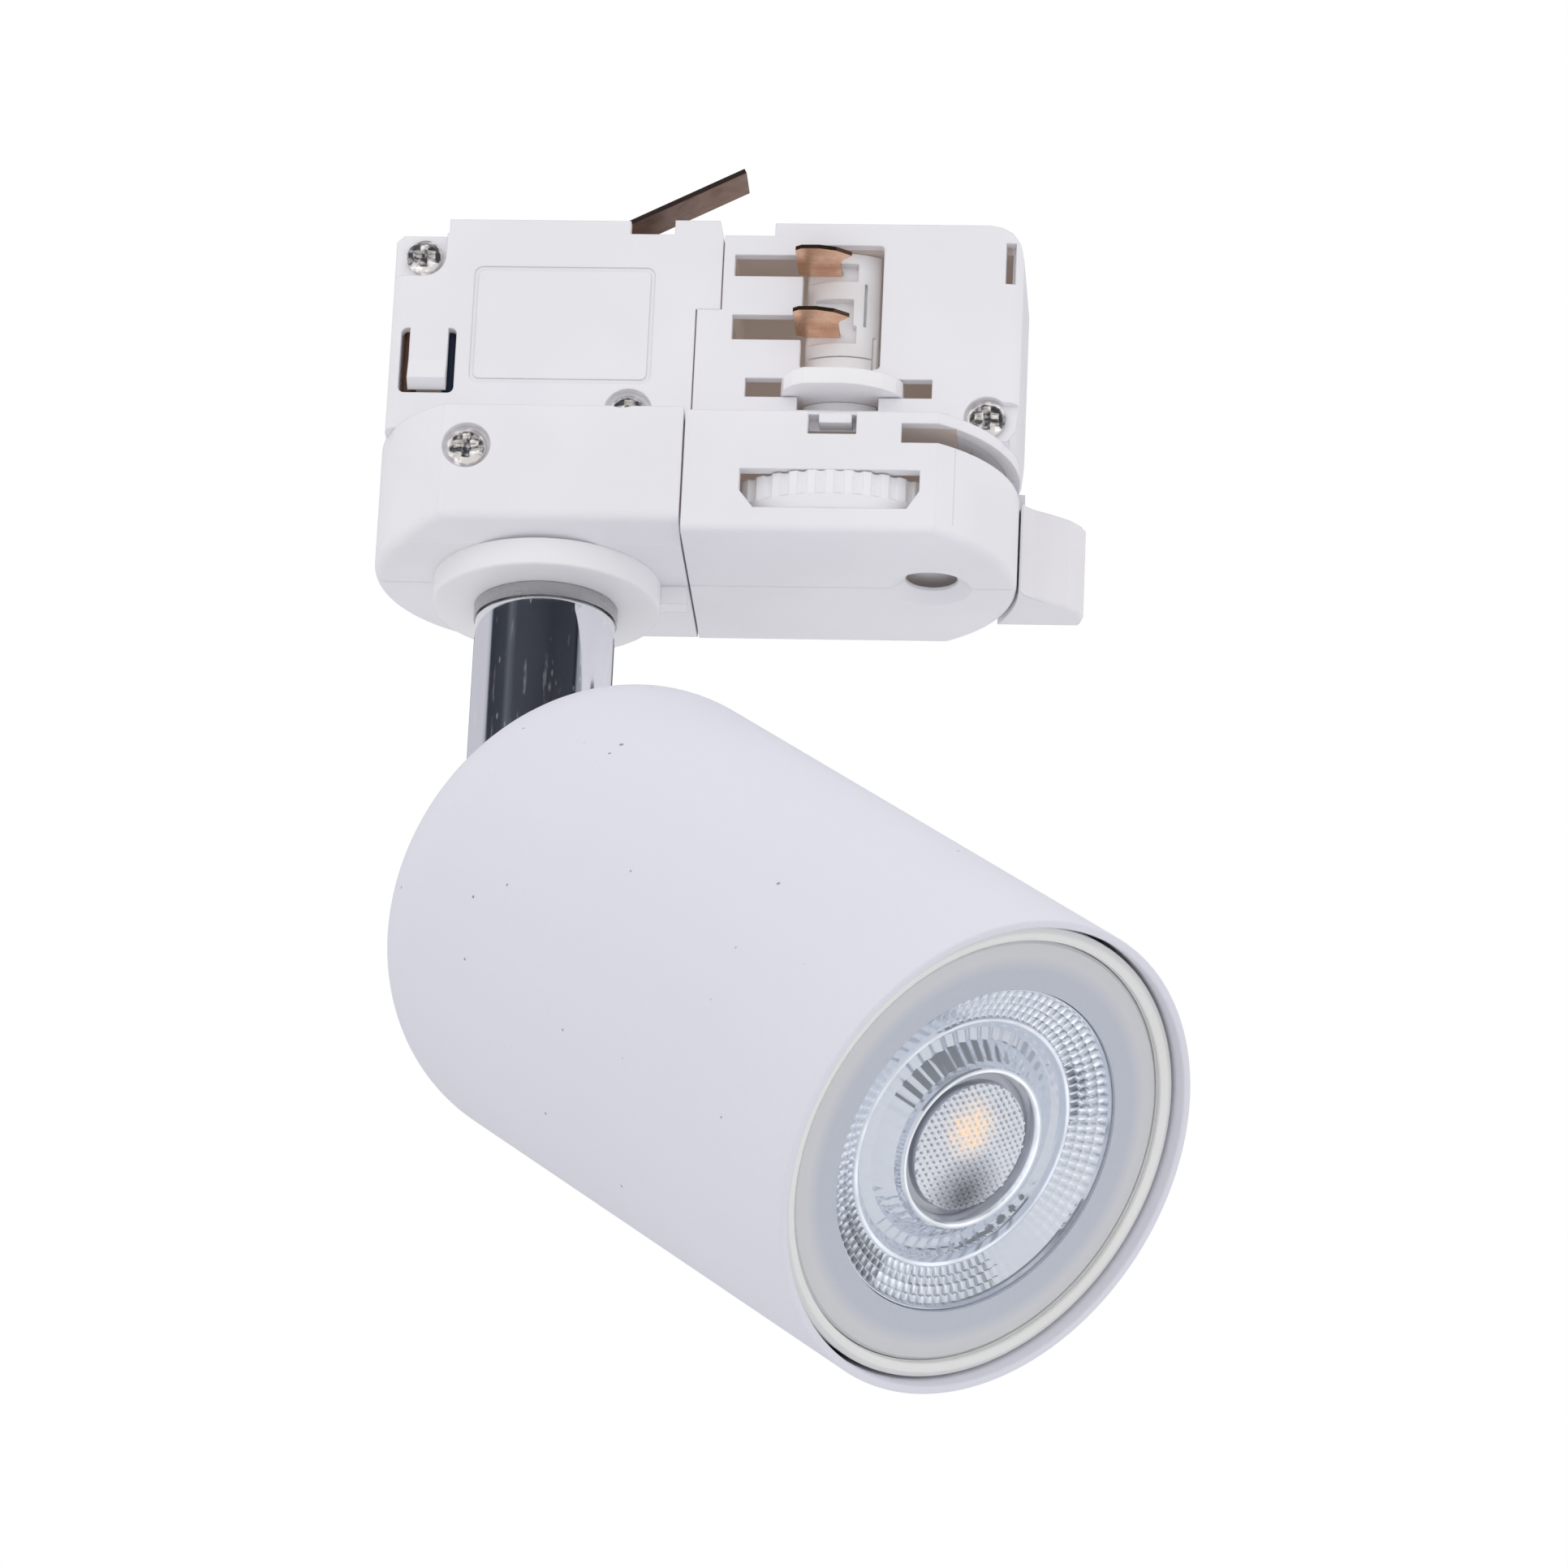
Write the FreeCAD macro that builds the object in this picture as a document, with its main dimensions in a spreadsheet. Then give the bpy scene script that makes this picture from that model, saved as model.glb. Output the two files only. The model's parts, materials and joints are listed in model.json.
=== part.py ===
import FreeCAD, Part
import math
import os
from types import SimpleNamespace

import Sketcher

# Track spotlight: a three-circuit track adapter, a pole that turns under it and a tube that tilts on the pole.
# Frame: millimetres, +Z up, +X along the track towards the lock lever, -Y towards the contacts' side.
# Origin: on the pole's axis, at the plane where the base covers meet the underside of the track.

DRIVING = {
    # Adapter body
    "base_half_width": 15.7, "base_depth": 14.86, "base_wall": 1.5, "ledge_thickness": 1.35,
    "base_right_end_centre": 34.9, "base_right_end_radius": 18.67,
    "base_left_end_centre": -1.2, "base_left_end_radius": 18.6,
    "base_gap_left": 16.1, "base_gap_right": 16.32, "left_cover_rise": 0.37, "left_edge_depth": 13.5,
    "housing_half_width": 9.0, "housing_wall": 1.3, "housing_height": 26.75, "shoulder_height": 25.15,
    "housing_right_end": 53.6, "housing_left_end": -18.8, "seam_low": 16.24, "seam_high": 19.06,
    "seam_step": 15.75, "seam_gap": 0.15, "foot_end": 48.4, "foot_start": -14.0,
    "earth_root_x": 3.0, "earth_root_z": 24.3, "earth_slope": 27.7, "earth_length": 20.4, "earth_near": -7.6,
    # Contact drum, dial and lever, all on one upright axis
    "drum_axis": 33.0, "drum_radius": 7.55, "drum_half_width": 4.25, "drum_bottom": 7.1, "drum_top": 23.7,
    "cam_bottom": 4.95, "cam_top": 7.0, "spindle_radius": 2.0, "shaft_clearance": 0.06,
    "dial_radius": 16.15, "dial_bottom": -11.85, "dial_top": -7.4, "dial_ribs": 48,
    "upper_blade_level": 21.3, "lower_blade_level": 13.55, "blade_thickness": 0.5, "blade_reach": 14.4,
    "lever_top": -1.6, "lever_arm_bottom": -3.6, "lever_bottom": -14.6, "lever_inner_radius": 20.8,
    # Swivel and pole
    "disc_radius": 13.0, "disc_thickness": 3.2, "trim_radius": 8.2, "trim_thickness": 1.7, "pole_radius": 8.0,
    "pole_bore_radius": 5.5, "pole_end": -67.0, "nipple_radius": 5.0, "pivot_height": -62.556,
    # Tube
    "tube_azimuth": -38.6, "tube_pitch": 35.15, "tube_crossing": -50.05, "tube_radius": 27.0, "tube_wall": 0.95,
    "tube_rear": 2.2, "tube_joint": 16.0, "tube_rim": 86.25, "tube_shoulder_radius": 13.5,
    "pivot_along": 7.2, "pivot_up": -10.224, "slot_half_width": 8.6, "slot_low": -19.0, "slot_high": 12.0,
    "hinge_bolt_radius": 2.0, "web_face": 17.8,
    # Lamp
    "lamp_front": 84.75, "lamp_radius": 25.0, "lamp_ring_radius": 25.6, "lens_radius": 18.3, "lamp_back": 34.2,
}

doc = FreeCAD.newDocument("track_spotlight")
sheet = doc.addObject("Spreadsheet::Sheet", "Sizes")


class Length:
    """A number together with the spreadsheet expression that it comes from."""

    def __init__(self, value, text):
        self.value = float(value)
        self.text = text

    def _joined(self, other, sign, value):
        return Length(value, "(%s %s %s)" % (self.text, sign, as_length(other).text))

    def __add__(self, other):
        return self._joined(other, "+", self.value + as_length(other).value)

    def __sub__(self, other):
        return self._joined(other, "-", self.value - as_length(other).value)

    def __mul__(self, other):
        return self._joined(other, "*", self.value * as_length(other).value)

    def __truediv__(self, other):
        return self._joined(other, "/", self.value / as_length(other).value)

    def __radd__(self, other):
        return as_length(other) + self

    def __rsub__(self, other):
        return as_length(other) - self

    def __rmul__(self, other):
        return as_length(other) * self

    def __neg__(self):
        return Length(-self.value, "(0 - %s)" % self.text)


def as_length(number):
    if isinstance(number, Length):
        return number
    return Length(number, "(%.6f)" % number if number < 0 else "%.6f" % number)


def fill_sheet():
    for row, (name, value) in enumerate(DRIVING.items(), start=1):
        sheet.set("A%d" % row, name)
        sheet.set("B%d" % row, str(value))
        sheet.setAlias("B%d" % row, name)
    doc.recompute()


fill_sheet()
size = SimpleNamespace(**{name: Length(value, "Sizes.%s" % name) for name, value in DRIVING.items()})

# ---------------------------------------------------------------- building blocks

NO_TURN = FreeCAD.Rotation()
ALONG_AXIS = {
    "X": FreeCAD.Rotation(FreeCAD.Vector(0, 1, 0), 90),
    "Y": FreeCAD.Rotation(FreeCAD.Vector(1, 0, 0), -90),
    "Z": NO_TURN,
}
WORLD = FreeCAD.Placement()
nodes = []


def bind(thing, prop, length):
    thing.setExpression(prop, as_length(length).text)


def put(thing, corner, rotation=NO_TURN, frame=WORLD):
    """Place a primitive at a point. In the world frame the point stays bound to the sheet."""
    place = FreeCAD.Placement(FreeCAD.Vector(*[as_length(part).value for part in corner]), rotation)
    thing.Placement = frame.multiply(place)
    if frame is WORLD:
        for letter, part in zip("xyz", corner):
            bind(thing, "Placement.Base." + letter, part)


def box(x_span, y_span, z_span, frame=WORLD):
    block = doc.addObject("Part::Box", "Block")
    for prop, (low, high) in zip(("Length", "Width", "Height"), (x_span, y_span, z_span)):
        bind(block, prop, as_length(high) - low)
    put(block, (x_span[0], y_span[0], z_span[0]), NO_TURN, frame)
    return block


def rod(radius, start, length, axis="Z", frame=WORLD):
    bar = doc.addObject("Part::Cylinder", "Rod")
    bind(bar, "Radius", radius)
    bind(bar, "Height", length)
    put(bar, start, ALONG_AXIS[axis], frame)
    return bar


def cone(radius_low, radius_high, start, length, axis="Z", frame=WORLD):
    taper = doc.addObject("Part::Cone", "Taper")
    bind(taper, "Radius1", radius_low)
    bind(taper, "Radius2", radius_high)
    bind(taper, "Height", length)
    put(taper, start, ALONG_AXIS[axis], frame)
    return taper


def ball(radius, centre, frame=WORLD):
    sphere = doc.addObject("Part::Sphere", "Ball")
    bind(sphere, "Radius", radius)
    put(sphere, centre, NO_TURN, frame)
    return sphere


def fuse(*things):
    if len(things) == 1:
        return things[0]
    union = doc.addObject("Part::MultiFuse", "Union")
    union.Shapes = list(things)
    return union


def cut(base, *tools):
    rest = doc.addObject("Part::Cut", "Remainder")
    rest.Base = base
    rest.Tool = fuse(*tools)
    return rest


def common(first, second):
    shared = doc.addObject("Part::MultiCommon", "Shared")
    shared.Shapes = [first, second]
    return shared


def ring(outer, inner, start, length, axis="Z", frame=WORLD):
    margin = 1.0
    low = list(start)
    letter = "XYZ".index(axis)
    low[letter] = as_length(low[letter]) - margin
    hole = rod(inner, low, as_length(length) + 2 * margin, axis, frame)
    return cut(rod(outer, start, length, axis, frame), hole)


def half_of(thing, side):
    """The front (-Y) or rear (+Y) half of a thing split at the middle plane."""
    reach = 120.0
    y_span = (-reach, 0.0) if side == "front" else (0.0, reach)
    return common(thing, box((-reach, reach), y_span, (-reach, reach)))


def outline_sketch(body, plane, points):
    """A closed outline whose corners are held by dimensions bound to the sheet."""
    sketch = body.newObject("Sketcher::SketchObject", "Outline")
    origin_plane = [item for item in body.Origin.OriginFeatures if item.Role == plane][0]
    sketch.AttachmentSupport = [(origin_plane, "")]
    sketch.MapMode = "FlatFace"
    corners = [(as_length(x), as_length(y)) for x, y in points]
    places = [FreeCAD.Vector(x.value, y.value, 0) for x, y in corners]
    count = len(places)
    lines = [Part.LineSegment(places[index], places[(index + 1) % count]) for index in range(count)]
    sketch.addGeometry(lines, False)
    for index in range(count):
        sketch.addConstraint(Sketcher.Constraint("Coincident", index, 2, (index + 1) % count, 1))
    for index, (x, y) in enumerate(corners):
        for kind, length in (("DistanceX", x), ("DistanceY", y)):
            number = sketch.addConstraint(Sketcher.Constraint(kind, -1, 1, index, 1, length.value))
            sketch.setExpression("Constraints[%d]" % number, length.text)
    return sketch


def plate(plane, points, length, start, axis, frame=WORLD):
    """Pad an outline drawn on an origin plane; the body is then moved so that the pad begins at start."""
    body = doc.addObject("PartDesign::Body", "Plate")
    sketch = outline_sketch(body, plane, points)
    pad = body.newObject("PartDesign::Pad", "Thickness")
    pad.Profile = sketch
    bind(pad, "Length", length)
    pad.Reversed = plane == "XZ_Plane"
    corner = [0.0, 0.0, 0.0]
    corner["XYZ".index(axis)] = start
    put(body, corner, NO_TURN, frame)
    return body


def soft_block(x_span, y_span, z_span, radius):
    """A block whose four edges along Y are round."""
    (x_low, x_high), (z_low, z_high) = x_span, z_span
    length = as_length(y_span[1]) - y_span[0]
    corners = [rod(radius, (x, y_span[0], z), length, "Y")
               for x in (x_low + radius, x_high - radius) for z in (z_low + radius, z_high - radius)]
    return fuse(box((x_low + radius, x_high - radius), y_span, z_span),
                box(x_span, y_span, (z_low + radius, z_high - radius)), *corners)


def turned(points, frame=WORLD):
    """Revolve a (radius, height) outline about the local Z axis."""
    body = doc.addObject("PartDesign::Body", "Turned")
    sketch = outline_sketch(body, "XZ_Plane", points)
    solid = body.newObject("PartDesign::Revolution", "Turning")
    solid.Profile = sketch
    solid.ReferenceAxis = (sketch, ["V_Axis"])
    solid.Angle = 360.0
    put(body, (0.0, 0.0, 0.0), NO_TURN, frame)
    return body


def rounded(thing, radius, chooses):
    """Round the edges for which chooses(edge) is true."""
    doc.recompute()
    numbers = [index for index, edge in enumerate(thing.Shape.Edges, start=1) if chooses(edge)]
    if not numbers:
        raise RuntimeError("no edge to round on " + thing.Label)
    fillet = doc.addObject("Part::Fillet", "Rounding")
    fillet.Base = thing
    fillet.Edges = [(number, radius, radius) for number in numbers]
    return fillet


def node(name, thing):
    thing.Label = name
    nodes.append((name, thing))
    return thing


def place_upright(edge):
    """True for a straight edge that runs along Z."""
    box_of_edge = edge.BoundBox
    return box_of_edge.XLength < 1e-6 and box_of_edge.YLength < 1e-6


# ---------------------------------------------------------------- track housings (the part inside the track)

def screw_recess(x, z, radius):
    """A round pocket in the front wall for a screw head."""
    return rod(radius, (x, -size.housing_half_width - 1.0, z), 2.0, "Y")


def blade_relief():
    """Room in both housings' neighbouring walls for the upper blade when it is turned in."""
    inner = size.housing_half_width - size.housing_wall
    level = size.upper_blade_level
    return box((size.drum_axis - size.blade_reach - 0.3, 20.6), (-inner, inner), (level - 0.6, level + 1.1))


def contact_housing():
    """Right housing: hollow box with slots for the contacts, the cam and the drum."""
    wall = size.housing_wall
    width = size.housing_half_width
    left = size.seam_low + size.seam_gap
    left_high = size.seam_high + size.seam_gap
    shoulder_end = 24.95
    foot = size.foot_end
    right = size.housing_right_end
    top = size.housing_height
    side = [(left, -size.ledge_thickness), (foot, -size.ledge_thickness), (foot, 0.0), (right - 1.2, 0.0),
            (right - 0.3, 1.4), (right, 4.0), (right, top - 3.8), (right - 0.35, top - 2.2), (right - 1.3, top - 1.0),
            (right - 2.5, top - 0.3), (right - 3.9, top), (shoulder_end, top),
            (shoulder_end, size.shoulder_height), (left_high, size.shoulder_height),
            (left_high, size.seam_step), (left, size.seam_step)]
    blank = plate("XZ_Plane", side, width * 2, -width, "Y")
    blank = rounded(blank, 1.5, lambda edge: place_upright(edge) and edge.CenterOfMass.x > 50)
    hollow_low = box((left + wall, right - wall - 1.0), (-width + wall, width - wall), (-2.0, 15.0))
    hollow_high = box((left_high + wall, right - wall), (-width + wall, width - wall),
                      (4.0, size.shoulder_height - wall))
    axis = size.drum_axis
    through = (-width - 1.0, -width + wall + 0.5)
    windows = [
        soft_block((axis - 4.6, axis + 4.6), through, (8.4, 24.0), 0.5),
        box((axis - 4.7, axis + 4.6), through, (3.2, 5.0)),
        box((20.5, axis - 4.0), through, (20.0, 22.7)),
        box((20.5, axis - 4.0), through, (12.0, 15.1)),
        box((22.3, 43.65), (-width - 1.0, width + 1.0), (size.cam_bottom - 0.15, size.cam_top + 0.15)),
        box((axis - 3.8, axis + 3.8), through, (6.9, 8.5)),
        box((51.6, 52.7), through, (19.35, 24.5)),
        screw_recess(50.0, 2.5, 2.6),
        box((50.0, 53.6), (-width - 1.0, -width + 1.0), (-0.1, 4.4)),
        rod(1.1, (50.0, -width - 1.0, 2.5), width * 2 + 2.0, "Y"),
    ]
    rear = (width - wall - 0.5, width + 1.0)
    windows += [
        box((axis - 4.6, axis + 4.6), rear, (8.4, 24.0)),
        box((axis + 4.0, 45.5), rear, (16.0, 18.7)),
    ]
    windows.append(rod(size.spindle_radius + size.shaft_clearance, (axis, 0.0, 20.0), 5.2))
    windows.append(blade_relief())
    boss = cut(box((47.4, 52.6), (-width + wall - 0.2, width - wall + 0.2), (0.0, 5.0)),
               rod(1.1, (50.0, -width - 1.0, 2.5), width * 2 + 2.0, "Y"))
    return fuse(cut(blank, hollow_low, hollow_high, *windows), boss)


def wiring_housing():
    """Left housing: holds the leads; a window with a springy tab, an inset frame and a notch for the earth blade."""
    wall = size.housing_wall
    width = size.housing_half_width
    left = size.housing_left_end
    rise = size.left_cover_rise
    low = rise - size.ledge_thickness
    side = [(left, rise), (size.foot_start, rise), (size.foot_start, low), (size.seam_low, low),
            (size.seam_low, size.seam_step), (size.seam_high, size.seam_step), (size.seam_high, 24.9),
            (18.6, 27.0), (13.4, 27.0), (13.4, 25.2), (8.3, 25.2), (8.3, 26.85),
            (-12.6, 26.85), (-12.6, 25.1), (left + 0.9, 25.1), (left, 24.2)]
    blank = plate("XZ_Plane", side, width * 2, -width, "Y")
    blank = rounded(blank, 1.5, lambda edge: place_upright(edge) and edge.CenterOfMass.x < -15)
    hollow = [
        box((left + wall, size.seam_low - wall), (-width + wall, width - wall), (-3.0, 24.0)),
        box((-12.0, size.seam_low - wall), (-width + wall, width - wall), (20.0, 25.4)),
        box((8.3, 13.4), (-width + wall, width - wall), (22.0, 27.0)),
    ]
    hollow[1] = cut(hollow[1], box((7.0, 14.7), (-width, width), (23.9, 26.0)))
    hollow.append(box((1.6, 13.4), (size.earth_near - 0.1, size.earth_near + 5.8), (23.0, 28.0)))
    through = (-width - 1.0, -width + wall + 0.5)
    front = -width
    frame_depth = 0.12
    inset_frame = cut(soft_block((-9.4, 11.4), (front - 1.0, front + frame_depth), (6.3, 20.9), 1.0),
                      soft_block((-8.95, 10.95), (front - 2.0, front + 1.0), (6.75, 20.45), 0.7))
    windows = [
        soft_block((-17.45, -11.1), through, (4.85, 13.0), 0.7),
        screw_recess(-15.4, 22.2, 2.55),
        box((-20.0, -12.85), (front - 1.0, front + 1.0), (22.2, 26.0)),
        box((-20.0, -15.4), (front - 1.0, front + 1.0), (19.65, 26.0)),
        screw_recess(9.04, 2.84, 2.75),
        inset_frame,
        blade_relief(),
    ]
    for x, z in ((-15.4, 22.2), (9.04, 2.84)):
        windows.append(rod(1.1, (x, front - 1.0, z), width * 2 + 2.0, "Y"))
    bosses = [
        cut(box((left + wall - 0.2, -12.8), (-width + wall - 0.2, width - wall + 0.2), (19.6, 24.2)),
            rod(1.1, (-15.4, front - 1.0, 22.2), width * 2 + 2.0, "Y")),
        cut(box((6.4, 11.6), (-width + wall - 0.2, width - wall + 0.2), (0.2, 5.6)),
            rod(1.1, (9.04, front - 1.0, 2.84), width * 2 + 2.0, "Y")),
    ]
    tab_outline = [(-9.0, 13.2), (-9.0, 9.0), (-9.7, 6.4), (-8.3, 5.5), (-7.9, 6.3), (-7.9, 13.2)]
    tab = plate("YZ_Plane", tab_outline, 4.4, -16.45, "X")
    return fuse(cut(blank, *hollow, *windows), tab, *bosses)


def earth_blade():
    """Springy copper strip that rises out of the notch, on a cross pin between the housing's walls."""
    lift = 0.35
    root = FreeCAD.Vector(DRIVING["earth_root_x"], 0, DRIVING["earth_root_z"] + lift)
    raised = FreeCAD.Placement(root, FreeCAD.Rotation(FreeCAD.Vector(0, 1, 0), -DRIVING["earth_slope"]))
    strip = box((0.0, size.earth_length), (size.earth_near, size.earth_near + 5.3), (-0.3, 0.3), raised)
    inner = size.housing_half_width - size.housing_wall
    pin = rod(0.9, (size.earth_root_x, -inner + 0.05, size.earth_root_z), inner * 2 - 0.1, "Y")
    return fuse(strip, pin)


# ---------------------------------------------------------------- base covers (the part under the track)

def right_base():
    """Right cover: flat sides, round end, dial windows, crescent slot for the lever and an access hole."""
    wall = size.base_wall
    half = size.base_half_width
    centre = size.base_right_end_centre
    radius = size.base_right_end_radius
    left = size.base_gap_right
    depth = size.base_depth
    slab = box((left, 60.0), (-half, half), (-depth, 0.0))
    plan = fuse(box((left, centre), (-half, half), (-depth, 0.0)), rod(radius, (centre, 0.0, -depth), depth))
    blank = rounded(common(slab, plan), 0.9,
                    lambda edge: edge.BoundBox.ZMax < -14.8 and edge.CenterOfMass.x > 17.0)
    inner_depth = depth - wall - size.ledge_thickness
    hollow = common(box((left - 1.0, 60.0), (-half + wall, half - wall), (-depth + wall, -size.ledge_thickness)),
                    fuse(box((left - 1.0, centre), (-half, half), (-depth + wall, -size.ledge_thickness)),
                         rod(radius - wall, (centre, 0.0, -depth + wall), inner_depth)))
    width = size.housing_half_width
    opening = box((left - 1.0, size.foot_end), (-width, width), (-2.0, 1.0))
    axis = size.drum_axis
    dial_edge = [(22.75, -7.23), (22.75, -9.85), (24.4, -11.97), (41.7, -11.97), (43.08, -9.8), (43.08, -7.23)]
    crescent_reach = 30.0
    sector = [(axis, 0.0), (axis + crescent_reach * math.cos(math.radians(-63.4)),
                            -crescent_reach * math.sin(math.radians(63.4))),
              (axis + crescent_reach, -crescent_reach), (axis + crescent_reach, 9.9), (axis, 2.6)]
    arm_gap = 0.2
    crescent = common(plate("XY_Plane", sector, size.lever_top - size.lever_arm_bottom + 2 * arm_gap,
                            size.lever_arm_bottom - arm_gap, "Z"),
                      ring(30.0, 13.0, (axis, 0.0, -5.0), 5.0))
    hole_x = 43.9
    dish = cone(4.6, 3.0, (hole_x, 0.0, -depth - 0.01), 1.1)
    cuts = [
        hollow, opening,
        plate("XZ_Plane", dial_edge, wall + 2.0, -half - 1.0, "Y"),
        plate("XZ_Plane", dial_edge, wall + 2.0, half - wall - 1.0, "Y"),
        box((30.2, 35.7), (-half - 1.0, -half + 2.6), (-2.8, 1.0)),
        crescent, dish, rod(3.0, (hole_x, 0.0, -depth - 1.0), 4.0),
    ]
    lower_bearing = ring(4.5, size.spindle_radius + size.shaft_clearance, (axis, 0.0, -depth + 1.0), 1.6)
    tongue = box((31.4, 35.1), (-half + 0.5, -width), (-1.2, 0.0))
    lands = [box((18.0, 46.0), span, (0.0, size.left_cover_rise))
             for span in ((-half + 1.0, -width - 0.3), (width + 0.3, half - 1.0))]
    return fuse(cut(blank, *cuts), lower_bearing, tongue, *lands)


def left_base():
    """Left cover: round end, front of the underside sloped, a hole for the swivel and a screw recess."""
    wall = size.base_wall
    half = size.base_half_width
    centre = size.base_left_end_centre
    radius = size.base_left_end_radius
    right = size.base_gap_left
    depth = size.base_depth
    rise = size.left_cover_rise
    edge = size.left_edge_depth
    section = [(-half, rise), (-half, -edge), (-11.0, -depth), (half, -depth), (half, rise)]
    plan = fuse(box((centre, right), (-half, half), (-20.0, 5.0)),
                common(rod(radius, (centre, 0.0, -20.0), 25.0), box((-30.0, centre), (-half, half), (-20.0, 5.0))))
    blank = common(plate("YZ_Plane", section, 40.0, -22.0, "X"), plan)
    blank = rounded(blank, 1.2, is_lower_rim)
    inner = [(-half + wall, rise - size.ledge_thickness), (-half + wall, -edge + wall), (-11.0, -depth + wall),
             (half - wall, -depth + wall), (half - wall, rise - size.ledge_thickness)]
    inner_plan = fuse(box((centre, right + 1.0), (-half, half), (-20.0, 5.0)),
                      rod(radius - wall, (centre, 0.0, -20.0), 25.0))
    hollow = common(plate("YZ_Plane", inner, 40.0, -22.0, "X"), inner_plan)
    width = size.housing_half_width
    opening = box((size.foot_start, right + 1.0), (-width, width), (-2.0, 2.0))
    screw_x = -8.4
    screw_z = -4.72
    post = cut(rod(3.6, (screw_x, -half + 1.0, screw_z), half * 2 - 2.0, "Y"),
               rod(1.1, (screw_x, -half - 1.0, screw_z), half * 2 + 2.0, "Y"))
    post = common(post, plan)
    cuts = [
        hollow, opening,
        rod(size.nipple_radius + size.shaft_clearance, (0.0, 0.0, -depth - 1.0), 4.0),
        rod(2.75, (screw_x, -half - 1.0, screw_z), 2.0, "Y"),
        rod(1.1, (screw_x, -half - 1.0, screw_z), half * 2 + 2.0, "Y"),
        rod(2.7, (9.04, -half - 1.0, 2.84), 8.0, "Y"),
    ]
    screw_seat = cut(post, rod(2.75, (screw_x, -half - 1.0, screw_z), 2.0, "Y"))
    return fuse(cut(blank, *cuts), screw_seat)


def is_lower_rim(edge):
    """True for the edges round the left cover's underside, but not those at the middle gap."""
    middle = edge.CenterOfMass
    if edge.BoundBox.ZMax > -13.3:
        return False
    return middle.x < -15.0 or (middle.x < 15.0 and abs(middle.y) > 11.5)


# ---------------------------------------------------------------- screws

def pan_screw(x, y_head, z, head_radius, length):
    """Pan-head screw that enters along +Y, with a cross recess in its domed head."""
    head_height = 1.35
    dome = common(ball(head_radius * 1.5, (x, as_length(y_head) + head_radius * 1.5 - head_height, z)),
                  rod(head_radius, (x, as_length(y_head) - head_height, z), head_height, "Y"))
    slot = 0.42
    arm = head_radius * 0.62
    deep = (as_length(y_head) - head_height - 0.5, as_length(y_head) - 0.35)
    recess = fuse(box((x - arm, x + arm), deep, (z - slot, z + slot)),
                  box((x - slot, x + slot), deep, (z - arm, z + arm)))
    shank = rod(1.0, (x, y_head, z), length, "Y")
    return fuse(cut(dome, recess), shank)


# ---------------------------------------------------------------- drum, cam, contacts, dial, lever

def contact_drum():
    """A slab with round front and back that turns with the lever, bored for the dial's spindle."""
    axis = size.drum_axis
    slab_height = size.drum_top - size.drum_bottom
    slab = common(rod(size.drum_radius, (axis, 0.0, size.drum_bottom), slab_height),
                  box((axis - size.drum_half_width, axis + size.drum_half_width), (-9.0, 9.0),
                      (size.drum_bottom, size.drum_top)))
    low_slab = common(rod(size.drum_radius, (axis, 0.0, 2.9), 2.0),
                      box((axis - size.drum_half_width, axis + size.drum_half_width), (-9.0, 9.0), (2.9, 4.9)))
    neck = rod(4.3, (axis, 0.0, size.lever_top), size.drum_bottom - size.lever_top)
    bore = rod(size.spindle_radius + size.shaft_clearance, (axis, 0.0, -3.0), 30.0)
    front = (-size.drum_radius - 1.0, -size.drum_radius + 1.1)
    relief = [
        box((axis - 5.0, axis + 1.6), front, (20.2, 22.4)),
        box((axis - 5.0, axis + 1.6), front, (12.4, 14.6)),
        box((axis - 3.1, axis + 1.2), front, (14.6, 17.9)),
        box((axis + 3.5, axis + 5.0), front, (7.0, 13.4)),
        box((axis - 5.0, axis + 5.0), front, (10.6, 10.75)),
        box((axis + 2.4, axis + 2.7), front, (14.6, 20.0)),
    ]
    blade_slots = [blade(level, side, 0.0) for level, side in BLADES]
    body = rounded(fuse(slab, low_slab, neck), 0.5,
                   lambda edge: place_upright(edge) and abs(edge.CenterOfMass.y) > 5)
    return cut(body, bore, *relief, *blade_slots)


def lock_cam():
    """Flat two-lobed cam on the drum's neck: steep on one flank, easing off on the other."""
    axis = size.drum_axis
    lobe = [(-6.6, -8.6), (-6.2, -10.3), (-5.2, -11.7), (-3.8, -12.45), (0.4, -12.6), (2.6, -12.25), (5.0, -11.2),
            (6.6, -9.8), (7.3, -8.6), (7.4, 0.0)]
    back = [(-x, -y) for x, y in lobe]
    outline = [(axis + x, y) for x, y in lobe + back]
    profile = plate("XY_Plane", outline, size.cam_top - size.cam_bottom, size.cam_bottom, "Z")
    return cut(profile, rod(4.3, (axis, 0.0, 0.0), 10.0))


def blade(level, side, gap):
    """Copper contact blade: a flat tongue with a round nose, reaching out of the drum."""
    sign = -1.0 if side == "front" else 1.0
    flip = -sign
    axis = size.drum_axis
    nose = [(-5.3, 11.6), (-5.3, 13.2), (-4.6, 13.7), (-2.6, 13.75), (-0.6, 13.2), (1.1, 11.9), (0.0, 10.8),
            (-0.3, 9.9), (-0.3, 4.6), (-3.6, 4.6), (-3.6, 6.0), (-5.3, 7.0)]
    outline = [(axis + flip * x, sign * y) for x, y in nose]
    return plate("XY_Plane", outline, size.blade_thickness + gap, level, "Z")


BLADES = ((size.upper_blade_level, "front"), (size.lower_blade_level, "front"), (as_length(17.4), "rear"))


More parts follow.
